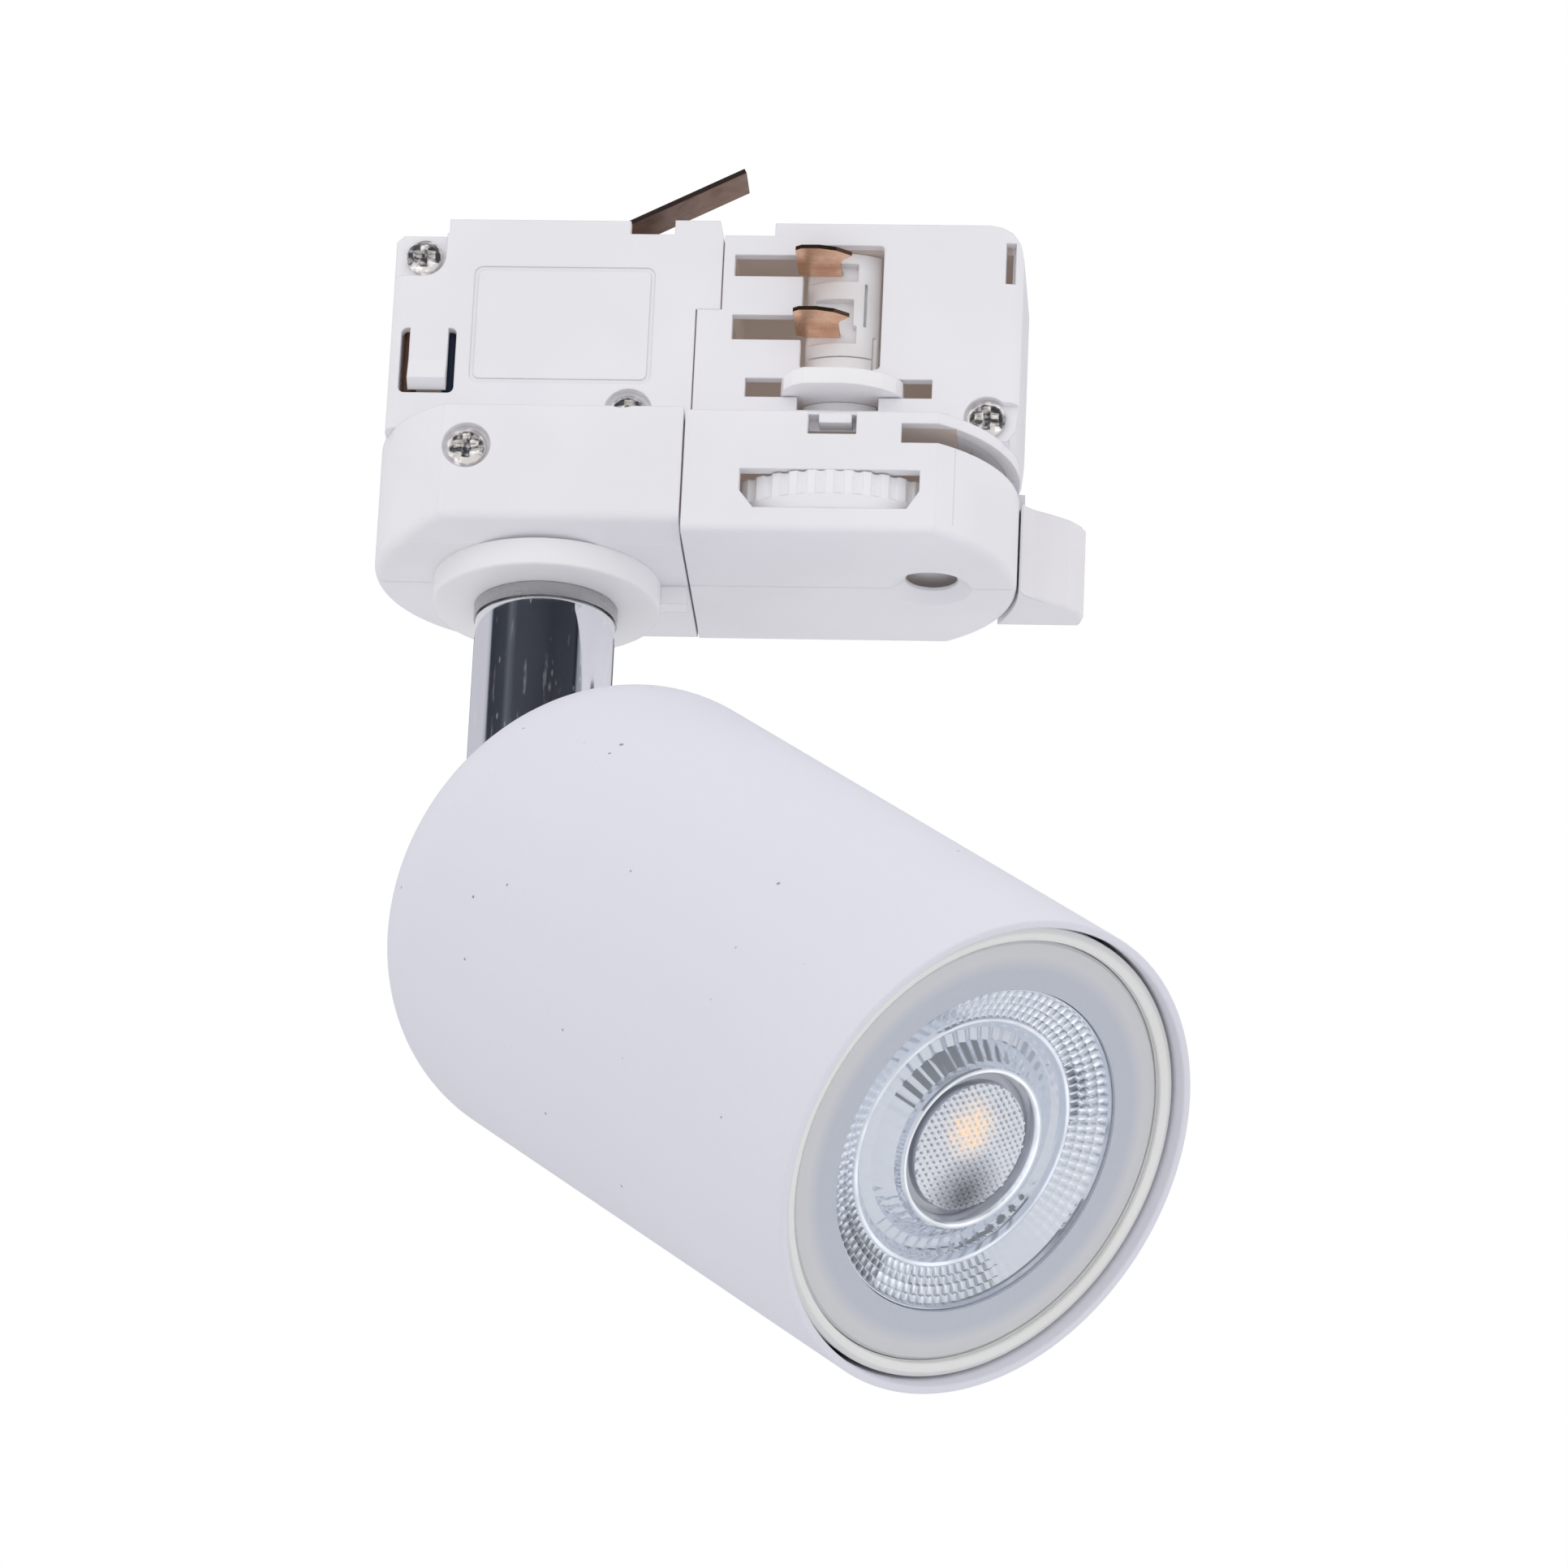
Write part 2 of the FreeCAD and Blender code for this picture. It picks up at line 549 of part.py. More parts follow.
def selector_dial():
    """Ribbed thumbwheel with a bevelled lower rim."""
    axis = size.drum_axis
    radius = size.dial_radius
    height = size.dial_top - size.dial_bottom
    bevel = 1.6
    wheel = fuse(rod(radius, (axis, 0.0, size.dial_bottom + bevel), height - bevel),
                 cone(radius - 0.8, radius, (axis, 0.0, size.dial_bottom), bevel))
    count = DRIVING["dial_ribs"]
    across = DRIVING["dial_radius"] + 0.2
    grooves = []
    for index in range(count):
        turn = 2 * math.pi * (index + 0.5) / count
        x = DRIVING["drum_axis"] + across * math.cos(turn)
        grooves.append(rod(0.6, (x, across * math.sin(turn), size.dial_bottom + bevel), height))
    recess = ring(radius - 2.2, 4.2, (axis, 0.0, size.dial_bottom + 1.6), height)
    return cut(wheel, recess, rod(size.spindle_radius, (axis, 0.0, -20.0), 20.0), *grooves)


def lock_lever():
    """Hub round the spindle, a thin arm out through the crescent slot and a thumb paddle outside the end."""
    axis = DRIVING["drum_axis"]
    inner = DRIVING["lever_inner_radius"]
    arm_height = size.lever_top - size.lever_arm_bottom
    hub = rod(7.0, (size.drum_axis, 0.0, size.lever_arm_bottom), arm_height)
    rest = math.radians(14.0)
    spread = math.radians(5.5)
    reach = inner + 0.5
    arm_outline = [(axis, 0.0)]
    arm_outline += [(axis + reach * math.cos(rest + step * spread), reach * math.sin(rest + step * spread))
                    for step in (-1.0, 0.0, 1.0)]
    arm = plate("XY_Plane", arm_outline, arm_height, size.lever_arm_bottom, "Z")
    thumb = [(49.0, 1.0), (54.0, 1.0), (54.3, 1.9), (55.3, 2.9), (57.2, 4.1), (59.1, 5.6), (60.4, 7.3), (60.9, 8.9),
             (60.5, 10.45), (49.0, 10.45)]
    paddle = plate("XY_Plane", thumb, size.lever_arm_bottom - size.lever_bottom, size.lever_bottom, "Z")
    paddle = rounded(paddle, 0.5, lambda edge: edge.BoundBox.ZMax < -14.5 and edge.CenterOfMass.x > 55)
    paddle = cut(paddle, rod(inner, (size.drum_axis, 0.0, -20.0), 20.0))
    hub_bore = rod(size.spindle_radius + 0.4, (size.drum_axis, 0.0, -5.0), 10.0)
    return fuse(cut(fuse(hub, arm), hub_bore), paddle)


# ---------------------------------------------------------------- swivel and pole

def swivel_disc():
    """Plain disc under the base with a softened lower edge and a tab towards the lock lever."""
    top = -size.base_depth
    low = -size.base_depth - size.disc_thickness
    bore = size.nipple_radius + size.shaft_clearance
    outline = [(bore, low), (size.disc_radius - 0.3, low), (size.disc_radius - 0.08, low + 0.08),
               (size.disc_radius, low + 0.3), (size.disc_radius, top), (bore, top)]
    tab = box((12.0, size.base_gap_left), (0.2, 2.6), (top - 2.2, top))
    return fuse(turned(outline), tab)


def pole():
    """Chrome tube with two flats at its lower end, where the tilt bolt crosses it."""
    top = -size.base_depth - size.disc_thickness - size.trim_thickness
    low = size.pole_end
    bore = size.pole_bore_radius
    radius = size.pole_radius
    tube = turned([(bore, low), (radius - 1.5, low), (radius, low + 1.5), (radius, top - 0.3),
                   (radius - 0.5, top - 0.2), (radius - 0.5, top), (bore, top)])
    flat_span = (-70.0, size.pivot_height + 6.35)
    flats = [box((7.0, 12.0), (-12.0, 12.0), flat_span, HINGE_FRAME),
             box((-12.0, -7.0), (-12.0, 12.0), flat_span, HINGE_FRAME)]
    cross_hole = rod(size.hinge_bolt_radius + size.shaft_clearance, (-15.0, 0.0, size.pivot_height), 30.0, "X",
                     HINGE_FRAME)
    return cut(tube, cross_hole, *flats)


# ---------------------------------------------------------------- tube head

AZIMUTH_TURN = FreeCAD.Rotation(FreeCAD.Vector(0, 0, 1), DRIVING["tube_azimuth"] + 90.0)
HINGE_FRAME = FreeCAD.Placement(FreeCAD.Vector(0, 0, 0), AZIMUTH_TURN)
TIP_TURN = FreeCAD.Rotation(FreeCAD.Vector(1, 0, 0), 90.0 + DRIVING["tube_pitch"])
TUBE_FRAME = FreeCAD.Placement(FreeCAD.Vector(0, 0, DRIVING["tube_crossing"]), AZIMUTH_TURN.multiply(TIP_TURN))


def barrel_quarter(middle):
    """A lengthwise quarter of the thin tube, centred on this direction; the four quarters meet face to face."""
    length = size.tube_rim - size.tube_joint
    tube = ring(size.tube_radius, size.tube_radius - size.tube_wall, (0.0, 0.0, size.tube_joint), length, "Z",
                TUBE_FRAME)
    reach = 60.0
    corners = [(0.0, 0.0)] + [(reach * math.cos(math.radians(middle + step)),
                               reach * math.sin(math.radians(middle + step))) for step in (-45.0, 45.0)]
    return common(tube, plate("XY_Plane", corners, length, size.tube_joint, "Z", TUBE_FRAME))


def barrel_back():
    """The tube's closed back: a flat wall with a rounded shoulder, slotted for the pole."""
    radius = size.tube_radius
    wall = size.tube_wall
    rear = size.tube_rear
    joint = size.tube_joint
    outside = turned([(0.0, rear), (radius, rear), (radius, joint), (0.0, joint)], TUBE_FRAME)
    shoulder = DRIVING["tube_shoulder_radius"]
    outside = rounded(outside, shoulder, lambda edge: is_rear_circle(edge, DRIVING["tube_radius"]))
    inside = turned([(0.0, rear + wall), (radius - wall, rear + wall), (radius - wall, joint + 1.0),
                     (0.0, joint + 1.0)], TUBE_FRAME)
    inside = rounded(inside, shoulder - DRIVING["tube_wall"],
                     lambda edge: is_rear_circle(edge, DRIVING["tube_radius"] - DRIVING["tube_wall"]))
    half = size.slot_half_width
    slot = box((-half, half), (size.slot_low, size.slot_high), (rear - 3.0, rear + 7.0), TUBE_FRAME)
    holes = [rod(1.3, (x, 0.0, rear - 2.0), 5.0, "Z", TUBE_FRAME) for x in (-11.2, 11.2)]
    return cut(outside, inside, slot, *holes)


def is_rear_circle(edge, radius):
    """True for a full circle of this radius at the tube's rear end."""
    if not hasattr(edge.Curve, "Radius") or abs(edge.Curve.Radius - radius) > 1e-4:
        return False
    return TUBE_FRAME.inverse().multVec(edge.Curve.Center).z < 10


def hinge_bracket():
    """U bracket inside the tube: two ears beside the pole, feet on the back wall and a web for the lampholder."""
    up = size.pivot_up
    inner_face = size.tube_rear + size.tube_wall
    web_face = size.web_face
    sheet_span = (web_face, web_face + 1.4)
    low = up - 4.5
    high = 3.0
    ears = []
    for side in (-1.0, 1.0):
        near, far = sorted((8.8 * side, 10.2 * side))
        ears.append(box((near, far), (low, high), (inner_face + 1.0, web_face + 1.4), TUBE_FRAME))
        near, far = sorted((8.8 * side, 12.6 * side))
        ears.append(box((near, far), (-2.3, 2.3), (inner_face, inner_face + 1.3), TUBE_FRAME))
    web = box((-10.2, 10.2), (low, high), sheet_span, TUBE_FRAME)
    holes = [rod(1.1, (x, 0.0, inner_face - 1.0), 4.0, "Z", TUBE_FRAME) for x in (-11.2, 11.2)]
    holes.append(rod(size.hinge_bolt_radius + size.shaft_clearance, (-15.0, up, size.pivot_along), 30.0, "X",
                     TUBE_FRAME))
    holes.append(rod(1.6, (0.0, 0.0, web_face - 0.6), 4.0, "Z", TUBE_FRAME))
    through_web = (web_face - 0.6, web_face + 2.4)
    holes.append(box((-4.5, -2.2), (-2.0, 2.0), through_web, TUBE_FRAME))
    holes.append(box((2.2, 4.5), (-2.0, 2.0), through_web, TUBE_FRAME))
    return cut(fuse(web, *ears), *holes)


def lampholder():
    """Ceramic twist-lock holder: a drum with two keyhole sockets."""
    face = size.web_face
    block = rod(12.4, (0.0, 0.0, face + 1.45), 13.9, "Z", TUBE_FRAME)
    sockets = [rod(2.7, (x, 0.0, face + 7.4), 9.0, "Z", TUBE_FRAME) for x in (-5.0, 5.0)]
    wires = [rod(1.2, (x, 0.0, face + 0.4), 8.0, "Z", TUBE_FRAME) for x in (-3.35, 3.35)]
    screw = rod(1.2, (0.0, 0.0, face + 0.4), 5.0, "Z", TUBE_FRAME)
    waist = ring(14.0, 11.6, (0.0, 0.0, face + 5.4), 1.5, "Z", TUBE_FRAME)
    return cut(block, screw, waist, *sockets, *wires)


def lamp_shell():
    """White reflector lamp body, hollow, flaring from its neck to a straight rim."""
    back = size.lamp_back
    front = size.lamp_front
    radius = size.lamp_radius
    outline = [(0.0, back), (10.5, back), (10.5, back + 8.0), (13.5, back + 10.0), (radius - 1.0, back + 34.0),
               (radius, back + 39.0), (radius, front - 0.6), (radius - 1.0, front - 0.6),
               (radius - 1.0, back + 39.2), (radius - 2.1, back + 34.4), (12.4, back + 11.0), (9.4, back + 8.6),
               (9.4, back + 1.2), (0.0, back + 1.2)]
    return turned(outline, TUBE_FRAME)


def optic_lens():
    """Clear collimator: a central lens in a well and stepped rings out to the window's edge."""
    front = size.lamp_front - 0.9
    outline = [(0.0, front - 3.4), (4.0, front - 3.0), (7.3, front - 4.0), (8.4, front - 4.0), (9.2, front - 2.7),
               (13.3, front - 2.7), (14.0, front), (size.lens_radius, front), (size.lens_radius, front - 1.2),
               (9.0, front - 11.0), (6.0, front - 11.0), (6.6, front - 6.0), (0.0, front - 5.4)]
    return turned(outline, TUBE_FRAME)


def frosted_ring():
    """Frosted annulus round the lens, with a drop-in lip."""
    front = size.lamp_front - 0.6
    outline = [(size.lens_radius + 0.05, front - 1.2), (size.lens_radius + 0.05, front), (23.55, front),
               (23.9, front - 0.25), (23.95, front - 1.2)]
    return turned(outline, TUBE_FRAME)


def lamp_ring():
    """Cream retaining ring over the lamp's rim."""
    front = size.lamp_front
    outline = [(size.lamp_radius - 0.9, front - 0.55), (size.lamp_radius - 0.9, front - 0.15),
               (size.lamp_radius - 0.45, front + 0.15), (size.lamp_radius, front + 0.15),
               (size.lamp_ring_radius, front - 0.15), (size.lamp_ring_radius, front - 2.6),
               (size.lamp_radius + 0.03, front - 2.6), (size.lamp_radius + 0.03, front - 0.55)]
    return turned(outline, TUBE_FRAME)


# ---------------------------------------------------------------- the nodes

def add_adapter_nodes():
    contact_shell = contact_housing()
    wiring_shell = wiring_housing()
    base_right = right_base()
    base_left = left_base()
    for side in ("front", "rear"):
        node("contact_housing_" + side, half_of(contact_shell, side))
        node("wiring_housing_" + side, half_of(wiring_shell, side))
        node("base_cover_right_" + side, half_of(base_right, side))
        node("base_cover_left_" + side, half_of(base_left, side))
    seat = -size.housing_half_width + 1.0
    node("housing_screws", fuse(pan_screw(-15.4, seat, 22.2, 2.1, 13.0), pan_screw(9.04, seat, 2.84, 2.1, 13.0),
                                pan_screw(50.0, seat, 2.5, 2.2, 13.0)))
    node("base_screw", pan_screw(-8.4, -size.base_half_width + 1.0, -4.72, 2.25, 24.0))
    node("earth_blade", earth_blade())


def add_wiring_nodes():
    block = box((-12.0, 4.0), (1.5, size.housing_half_width - size.housing_wall), (6.5, 16.0))
    wells = [rod(1.5, (x, 0.5, 13.0), 4.2, "Y") for x in (-9.3, -4.0, 1.3)]
    tunnels = [rod(1.2, (x, 4.1, 5.5), 8.5) for x in (-9.3, -4.0, 1.3)]
    node("terminal_block", cut(block, *wells, *tunnels))
    node("terminal_screws", fuse(*[cut(rod(1.35, (x, 1.8, 13.0), 1.6, "Y"),
                                       box((x - 1.0, x + 1.0), (1.5, 2.3), (12.8, 13.2)))
                                   for x in (-9.3, -4.0, 1.3)]))
    leads = {"brown_lead": -9.3, "blue_lead": -4.0, "earth_lead": 1.3}
    for name, x in leads.items():
        node(name, rod(1.0, (x, 4.1, -0.6), 12.1))
    window_leads = {"window_lead_blue": -11.9, "window_lead_brown": -16.5}
    for name, x in window_leads.items():
        node(name, rod(0.85, (x, -6.6, 1.2), 14.5))


def add_drum_nodes():
    node("contact_drum", contact_drum())
    node("lock_cam", lock_cam())
    for name, (level, side) in zip(("contact_blade_upper", "contact_blade_lower", "contact_blade_rear"), BLADES):
        node(name, blade(level, side, 0.0))
    node("lock_lever", lock_lever())
    node("selector_dial", selector_dial())
    node("selector_spindle", rod(size.spindle_radius, (size.drum_axis, 0.0, -13.3), 38.3))
    spring_x = size.drum_axis + size.dial_radius + 0.2
    node("detent_spring", box((spring_x, spring_x + 0.4), (-6.0, 6.0), (-12.9, -8.0)))


def add_swivel_nodes():
    disc_low = -size.base_depth - size.disc_thickness
    node("swivel_disc", swivel_disc())
    node("trim_ring", ring(size.trim_radius, size.nipple_radius, (0.0, 0.0, disc_low - size.trim_thickness),
                           size.trim_thickness - 0.05))
    lead_bore = 3.2
    node("threaded_nipple", ring(size.nipple_radius, lead_bore, (0.0, 0.0, disc_low - 6.0), 16.0))
    washer_low = -size.base_depth + size.base_wall + 0.1
    node("spring_washer", ring(7.6, size.nipple_radius, (0.0, 0.0, washer_low), 0.6))
    nut_radius = 8.0
    nut = doc.addObject("Part::Prism", "NutBlank")
    nut.Polygon = 6
    nut.Circumradius = nut_radius
    bind(nut, "Height", 3.0)
    put(nut, (0.0, 0.0, washer_low + 0.6))
    node("nipple_nut", cut(nut, rod(size.nipple_radius, (0.0, 0.0, -20.0), 20.0)))
    node("pole", cut(pole(), rod(size.nipple_radius, (0.0, 0.0, disc_low - 6.0), 5.0)))
    leads = [rod(0.95, (0.0, y, -60.0), 52.0, "Z", HINGE_FRAME) for y in (-2.1, 2.1)]
    leads = [cut(lead, rod(2.3, (-10.0, 0.0, size.pivot_height), 20.0, "X", HINGE_FRAME)) for lead in leads]
    leads = [common(lead, rod(3.1, (0.0, 0.0, -54.0), 60.0)) for lead in leads]
    node("pole_leads", fuse(*leads))


def add_head_nodes():
    up = size.pivot_up
    along = size.pivot_along
    quarters = {"barrel_upper": 90.0, "barrel_left": 180.0, "barrel_lower": 270.0, "barrel_right": 0.0}
    for name, middle in quarters.items():
        node(name, barrel_quarter(middle))
    node("barrel_back", barrel_back())
    node("hinge_bracket", hinge_bracket())
    node("bracket_screws", fuse(*[fuse(rod(2.0, (x, 0.0, size.tube_rear - 0.9), 0.9, "Z", TUBE_FRAME),
                                       rod(1.0, (x, 0.0, size.tube_rear), 3.0, "Z", TUBE_FRAME))
                                  for x in (-11.2, 11.2)]))
    shank = rod(size.hinge_bolt_radius, (-10.2, up, along), 23.4, "X", TUBE_FRAME)
    head = rod(3.4, (-12.6, up, along), 2.4, "X", TUBE_FRAME)
    socket = rod(1.5, (-13.0, up, along), 1.6, "X", TUBE_FRAME)
    node("hinge_bolt", cut(fuse(shank, head), socket))
    node("hinge_nut", ring(3.5, size.hinge_bolt_radius, (10.2, up, along), 2.6, "X", TUBE_FRAME))
    washers = [ring(3.9, size.hinge_bolt_radius + 0.02, (x, up, along), 1.65, "X", TUBE_FRAME) for x in (-8.75, 7.1)]
    node("hinge_washers", fuse(*washers))
    node("lampholder", lampholder())
    face = size.web_face
    node("lampholder_screw", fuse(rod(1.0, (0.0, 0.0, face), 5.0, "Z", TUBE_FRAME),
                                  rod(1.5, (0.0, 0.0, face), 1.4, "Z", TUBE_FRAME)))
    node("lampholder_contacts", fuse(*[ring(2.6, 1.7, (x, 0.0, face + 8.5), 3.0, "Z", TUBE_FRAME)
                                       for x in (-5.0, 5.0)]))
    node("lampholder_leads", fuse(*[rod(0.95, (x, 0.0, face - 0.2), 7.4, "Z", TUBE_FRAME) for x in (-3.35, 3.35)]))
    node("lamp_shell", lamp_shell())
    node("lamp_pins", fuse(*[fuse(rod(1.2, (x, 0.0, face + 11.6), 4.8, "Z", TUBE_FRAME),
                                  rod(1.65, (x, 0.0, face + 11.6), 1.6, "Z", TUBE_FRAME)) for x in (-5.0, 5.0)]))
    front = size.lamp_front
    node("led_board", rod(8.6, (0.0, 0.0, front - 13.4), 1.0, "Z", TUBE_FRAME))
    node("lamp_heatsink", ring(21.6, 1.5, (0.0, 0.0, front - 14.9), 1.5, "Z", TUBE_FRAME))
    chip_pitch = 2.3
    chips = [box((x * chip_pitch - 0.9, x * chip_pitch + 0.9), (y * chip_pitch - 0.9, y * chip_pitch + 0.9),
                 (front - 12.4, front - 11.8), TUBE_FRAME) for x, y in ((0, 1), (-1, 0), (1, 0), (0, -1), (0, 0))]
    node("led_chips", fuse(*chips))
    node("driver_board", box((-0.8, 0.8), (-8.5, 8.5), (size.lamp_back + 3.0, size.lamp_back + 29.0), TUBE_FRAME))
    node("optic_lens", optic_lens())
    node("frosted_ring", frosted_ring())
    node("lamp_ring", lamp_ring())


def check_and_write():
    doc.recompute()
    for item in doc.Objects:
        if "Invalid" in item.State or "Error" in item.State:
            raise RuntimeError("failed object %s (%s)" % (item.Name, item.TypeId))
    os.makedirs("parts", exist_ok=True)
    for name, thing in nodes:
        shape = thing.Shape
        if shape.isNull() or not shape.isValid() or not shape.Solids:
            raise RuntimeError("bad shape " + name)
        print("%-26s solids %d volume %9.2f" % (name, len(shape.Solids), shape.Volume))
        shape.exportStep("parts/%s.step" % name)


add_adapter_nodes()
add_wiring_nodes()
add_drum_nodes()
add_swivel_nodes()
add_head_nodes()
check_and_write()
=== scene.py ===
import json
import math

import bmesh
import bpy
from mathutils import Matrix, Vector


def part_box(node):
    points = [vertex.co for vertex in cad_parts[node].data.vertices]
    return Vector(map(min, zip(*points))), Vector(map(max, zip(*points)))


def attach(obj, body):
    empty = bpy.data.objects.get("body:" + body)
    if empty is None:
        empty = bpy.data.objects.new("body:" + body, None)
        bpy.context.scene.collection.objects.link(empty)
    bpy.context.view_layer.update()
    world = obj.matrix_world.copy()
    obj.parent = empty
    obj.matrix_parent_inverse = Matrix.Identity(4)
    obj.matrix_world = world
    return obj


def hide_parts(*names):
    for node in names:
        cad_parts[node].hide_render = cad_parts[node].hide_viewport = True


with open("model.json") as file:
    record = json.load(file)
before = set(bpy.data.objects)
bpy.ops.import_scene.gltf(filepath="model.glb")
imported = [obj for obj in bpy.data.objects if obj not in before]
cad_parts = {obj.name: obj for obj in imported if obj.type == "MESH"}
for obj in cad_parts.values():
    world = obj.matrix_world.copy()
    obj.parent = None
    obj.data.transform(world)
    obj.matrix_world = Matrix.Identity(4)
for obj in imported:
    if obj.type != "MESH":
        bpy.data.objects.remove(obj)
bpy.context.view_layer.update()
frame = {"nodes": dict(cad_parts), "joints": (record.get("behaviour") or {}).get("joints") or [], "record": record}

NODES = frame["nodes"]
MM = 0.001

# Open insides of the plastic shells as x, y and z ranges, in millimetres, where a warm painted shade and a faint
# painted bounce light go on the walls.
SHELL_INSIDES = (((-17.4, 52.1), (-7.8, 7.8), (0.4, 25.2)), ((-13.0, 46.9), (-14.25, 14.25), (-13.3, -1.36)))

# The optic: radii, widths and heights in millimetres from its axis and its front face, directions in radians.
LENS_RADIUS = 18.25
MICRO_RADIUS = 7.2
MICRO_PITCH = 0.78
MICRO_DEPTH = 0.065
RIDGE_ZONE = (9.6, 13.2)
RIDGE_DEPTH = 0.11
RIDGE_DIRECTION = 0.4
FLUTE_ZONE = (14.35, 17.9)
FLUTES = 96
FLUTE_ROW = 0.9
FLUTE_DEPTH = 0.42
FLUTE_SLOPE = 0.26
FLUTE_SINK = 0.2
FLUTE_DIRECTION = 1.05
WELL_ZONE = (7.3, 8.2)
CLEAR_ZONE = (9.0, 18.4)
PAINTED_HIGHLIGHT_RINGS = ((13.8, 14.1), (8.6, 8.9))
LENS_PROFILE = ((0.0, -0.25), (4.0, -0.4), (MICRO_RADIUS, -0.9), (7.35, -2.0), (WELL_ZONE[1], -2.2), (8.6, -0.6),
                (9.2, -0.5), (RIDGE_ZONE[0], -1.4), (11.4, -3.2), (12.7, -3.6), (13.4, -2.9), (13.8, -2.2),
                (14.2, -2.2), (FLUTE_ZONE[0], -2.4), (FLUTE_ZONE[1], -0.6), (18.05, -0.12), (LENS_RADIUS, -0.12))
EMITTER_PLACE = (-1.6, 1.9)     # across and up from the optic's middle
# Place of the painted dark patch on the micro lenses.
SHADE_PLACE = (2.2, -5.0)
LENS_STEPS = 384
FINE_STEP = 0.13
COARSE_STEP = 0.16
SKIRT_DEPTH = 1.2


# ---------------------------------------------------------------- places taken from the frame

def joint_named(name):
    return [joint for joint in frame["joints"] if joint["name"] == name][0]


def middle_of(name):
    low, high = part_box(name)
    return (low + high) / 2


def tube_axes():
    """Unit vectors of the tube at rest: along its axis, across it (the tilt axis) and up."""
    across = Vector(joint_named("tilt")["axis"]).normalized()
    along = (middle_of("led_board") - middle_of("lampholder")).normalized()
    along = (along - across * along.dot(across)).normalized()
    return along, across, along.cross(across).normalized()


# ---------------------------------------------------------------- node helpers

class Material:
    """A small wrapper that adds shader nodes and links them by name."""

    def __init__(self, name):
        self.material = bpy.data.materials.new(name)
        self.material.use_nodes = True
        self.tree = self.material.node_tree
        self.shader = self.tree.nodes["Principled BSDF"]
        coordinates = self.tree.nodes.new("ShaderNodeTexCoord")
        self.place = coordinates.outputs["Object"]

    def add(self, kind, **settings):
        node = self.tree.nodes.new(kind)
        for key, value in settings.items():
            setattr(node, key, value)
        return node

    def link(self, source, target):
        self.tree.links.new(source, target)

    def set(self, **values):
        for key, value in values.items():
            self.shader.inputs[key.replace("_", " ")].default_value = value

    def stretched(self, scale):
        mapping = self.add("ShaderNodeMapping")
        mapping.inputs["Scale"].default_value = scale
        self.link(self.place, mapping.inputs["Vector"])
        return mapping.outputs["Vector"]

    def noise(self, scale, detail=3.0, rough=0.5, vector=None):
        node = self.add("ShaderNodeTexNoise")
        node.inputs["Scale"].default_value = scale
        node.inputs["Detail"].default_value = detail
        node.inputs["Roughness"].default_value = rough
        self.link(vector or self.place, node.inputs["Vector"])
        return node.outputs["Fac"]

    def cells(self, scale, output="Distance", vector=None):
        node = self.add("ShaderNodeTexVoronoi")
        node.inputs["Scale"].default_value = scale
        self.link(vector or self.place, node.inputs["Vector"])
        return node.outputs[output]

    def remap(self, value, low, high, to_low, to_high):
        node = self.add("ShaderNodeMapRange", clamp=True)
        for key, number in zip(("From Min", "From Max", "To Min", "To Max"), (low, high, to_low, to_high)):
            node.inputs[key].default_value = number
        self.link(value, node.inputs["Value"])
        return node.outputs["Result"]

    def maths(self, operation, first, second=0.0):
        node = self.add("ShaderNodeMath", operation=operation)
        for socket, value in zip(node.inputs, (first, second)):
            if isinstance(value, (int, float)):
                socket.default_value = value
            else:
                self.link(value, socket)
        return node.outputs["Value"]

    def blend(self, factor, first, second):
        node = self.add("ShaderNodeMix", data_type="RGBA")
        self.link(factor, node.inputs["Factor"])
        for socket, value in ((node.inputs[6], first), (node.inputs[7], second)):
            if isinstance(value, tuple):
                socket.default_value = value if len(value) == 4 else value + (1.0,)
            else:
                self.link(value, socket)
        return node.outputs[2]

    def axis(self, letter):
        """One coordinate of the point, in metres."""
        node = self.add("ShaderNodeSeparateXYZ")
        self.link(self.place, node.inputs["Vector"])
        return node.outputs[letter]

    def between(self, value, low, high, soft=0.0001):
        """1 where the value lies between two limits, 0 elsewhere."""
        rising = self.remap(value, low - soft, low, 0.0, 1.0)
        falling = self.remap(value, high, high + soft, 1.0, 0.0)
        return self.maths("MULTIPLY", rising, falling)

    def all_of(self, *masks):
        total = masks[0]
        for mask in masks[1:]:
            total = self.maths("MULTIPLY", total, mask)
        return total

    def offset(self, centre):
        node = self.add("ShaderNodeVectorMath", operation="SUBTRACT")
        node.inputs[1].default_value = centre
        self.link(self.place, node.inputs[0])
        return node.outputs["Vector"]

    def from_axis(self, vector, direction):
        """Distance from the line through the origin along this direction."""
        flat = self.add("ShaderNodeVectorMath", operation="CROSS_PRODUCT")
        flat.inputs[1].default_value = direction
        self.link(vector, flat.inputs[0])
        size = self.add("ShaderNodeVectorMath", operation="LENGTH")
        self.link(flat.outputs["Vector"], size.inputs[0])
        return size.outputs["Value"]

    def turn_about(self, vector, first, second):
        """Angle of a point about the axis square to both directions, from the first to the second."""
        parts = []
        for direction in (second, first):
            share = self.add("ShaderNodeVectorMath", operation="DOT_PRODUCT")
            share.inputs[1].default_value = direction
            self.link(vector, share.inputs[0])
            parts.append(share.outputs["Value"])
        return self.maths("ARCTAN2", *parts)

    # Emission painted on a surface that is no lamp: painted light.
    def glow(self, colour, strength):
        self.shader.inputs["Emission Strength"].default_value = 1.0
        self.link(self.blend(strength, (0.0, 0.0, 0.0), colour), self.shader.inputs["Emission Color"])

    def colour(self, value):
        self.link(value, self.shader.inputs["Base Color"])

    def roughness(self, value):
        self.link(value, self.shader.inputs["Roughness"])

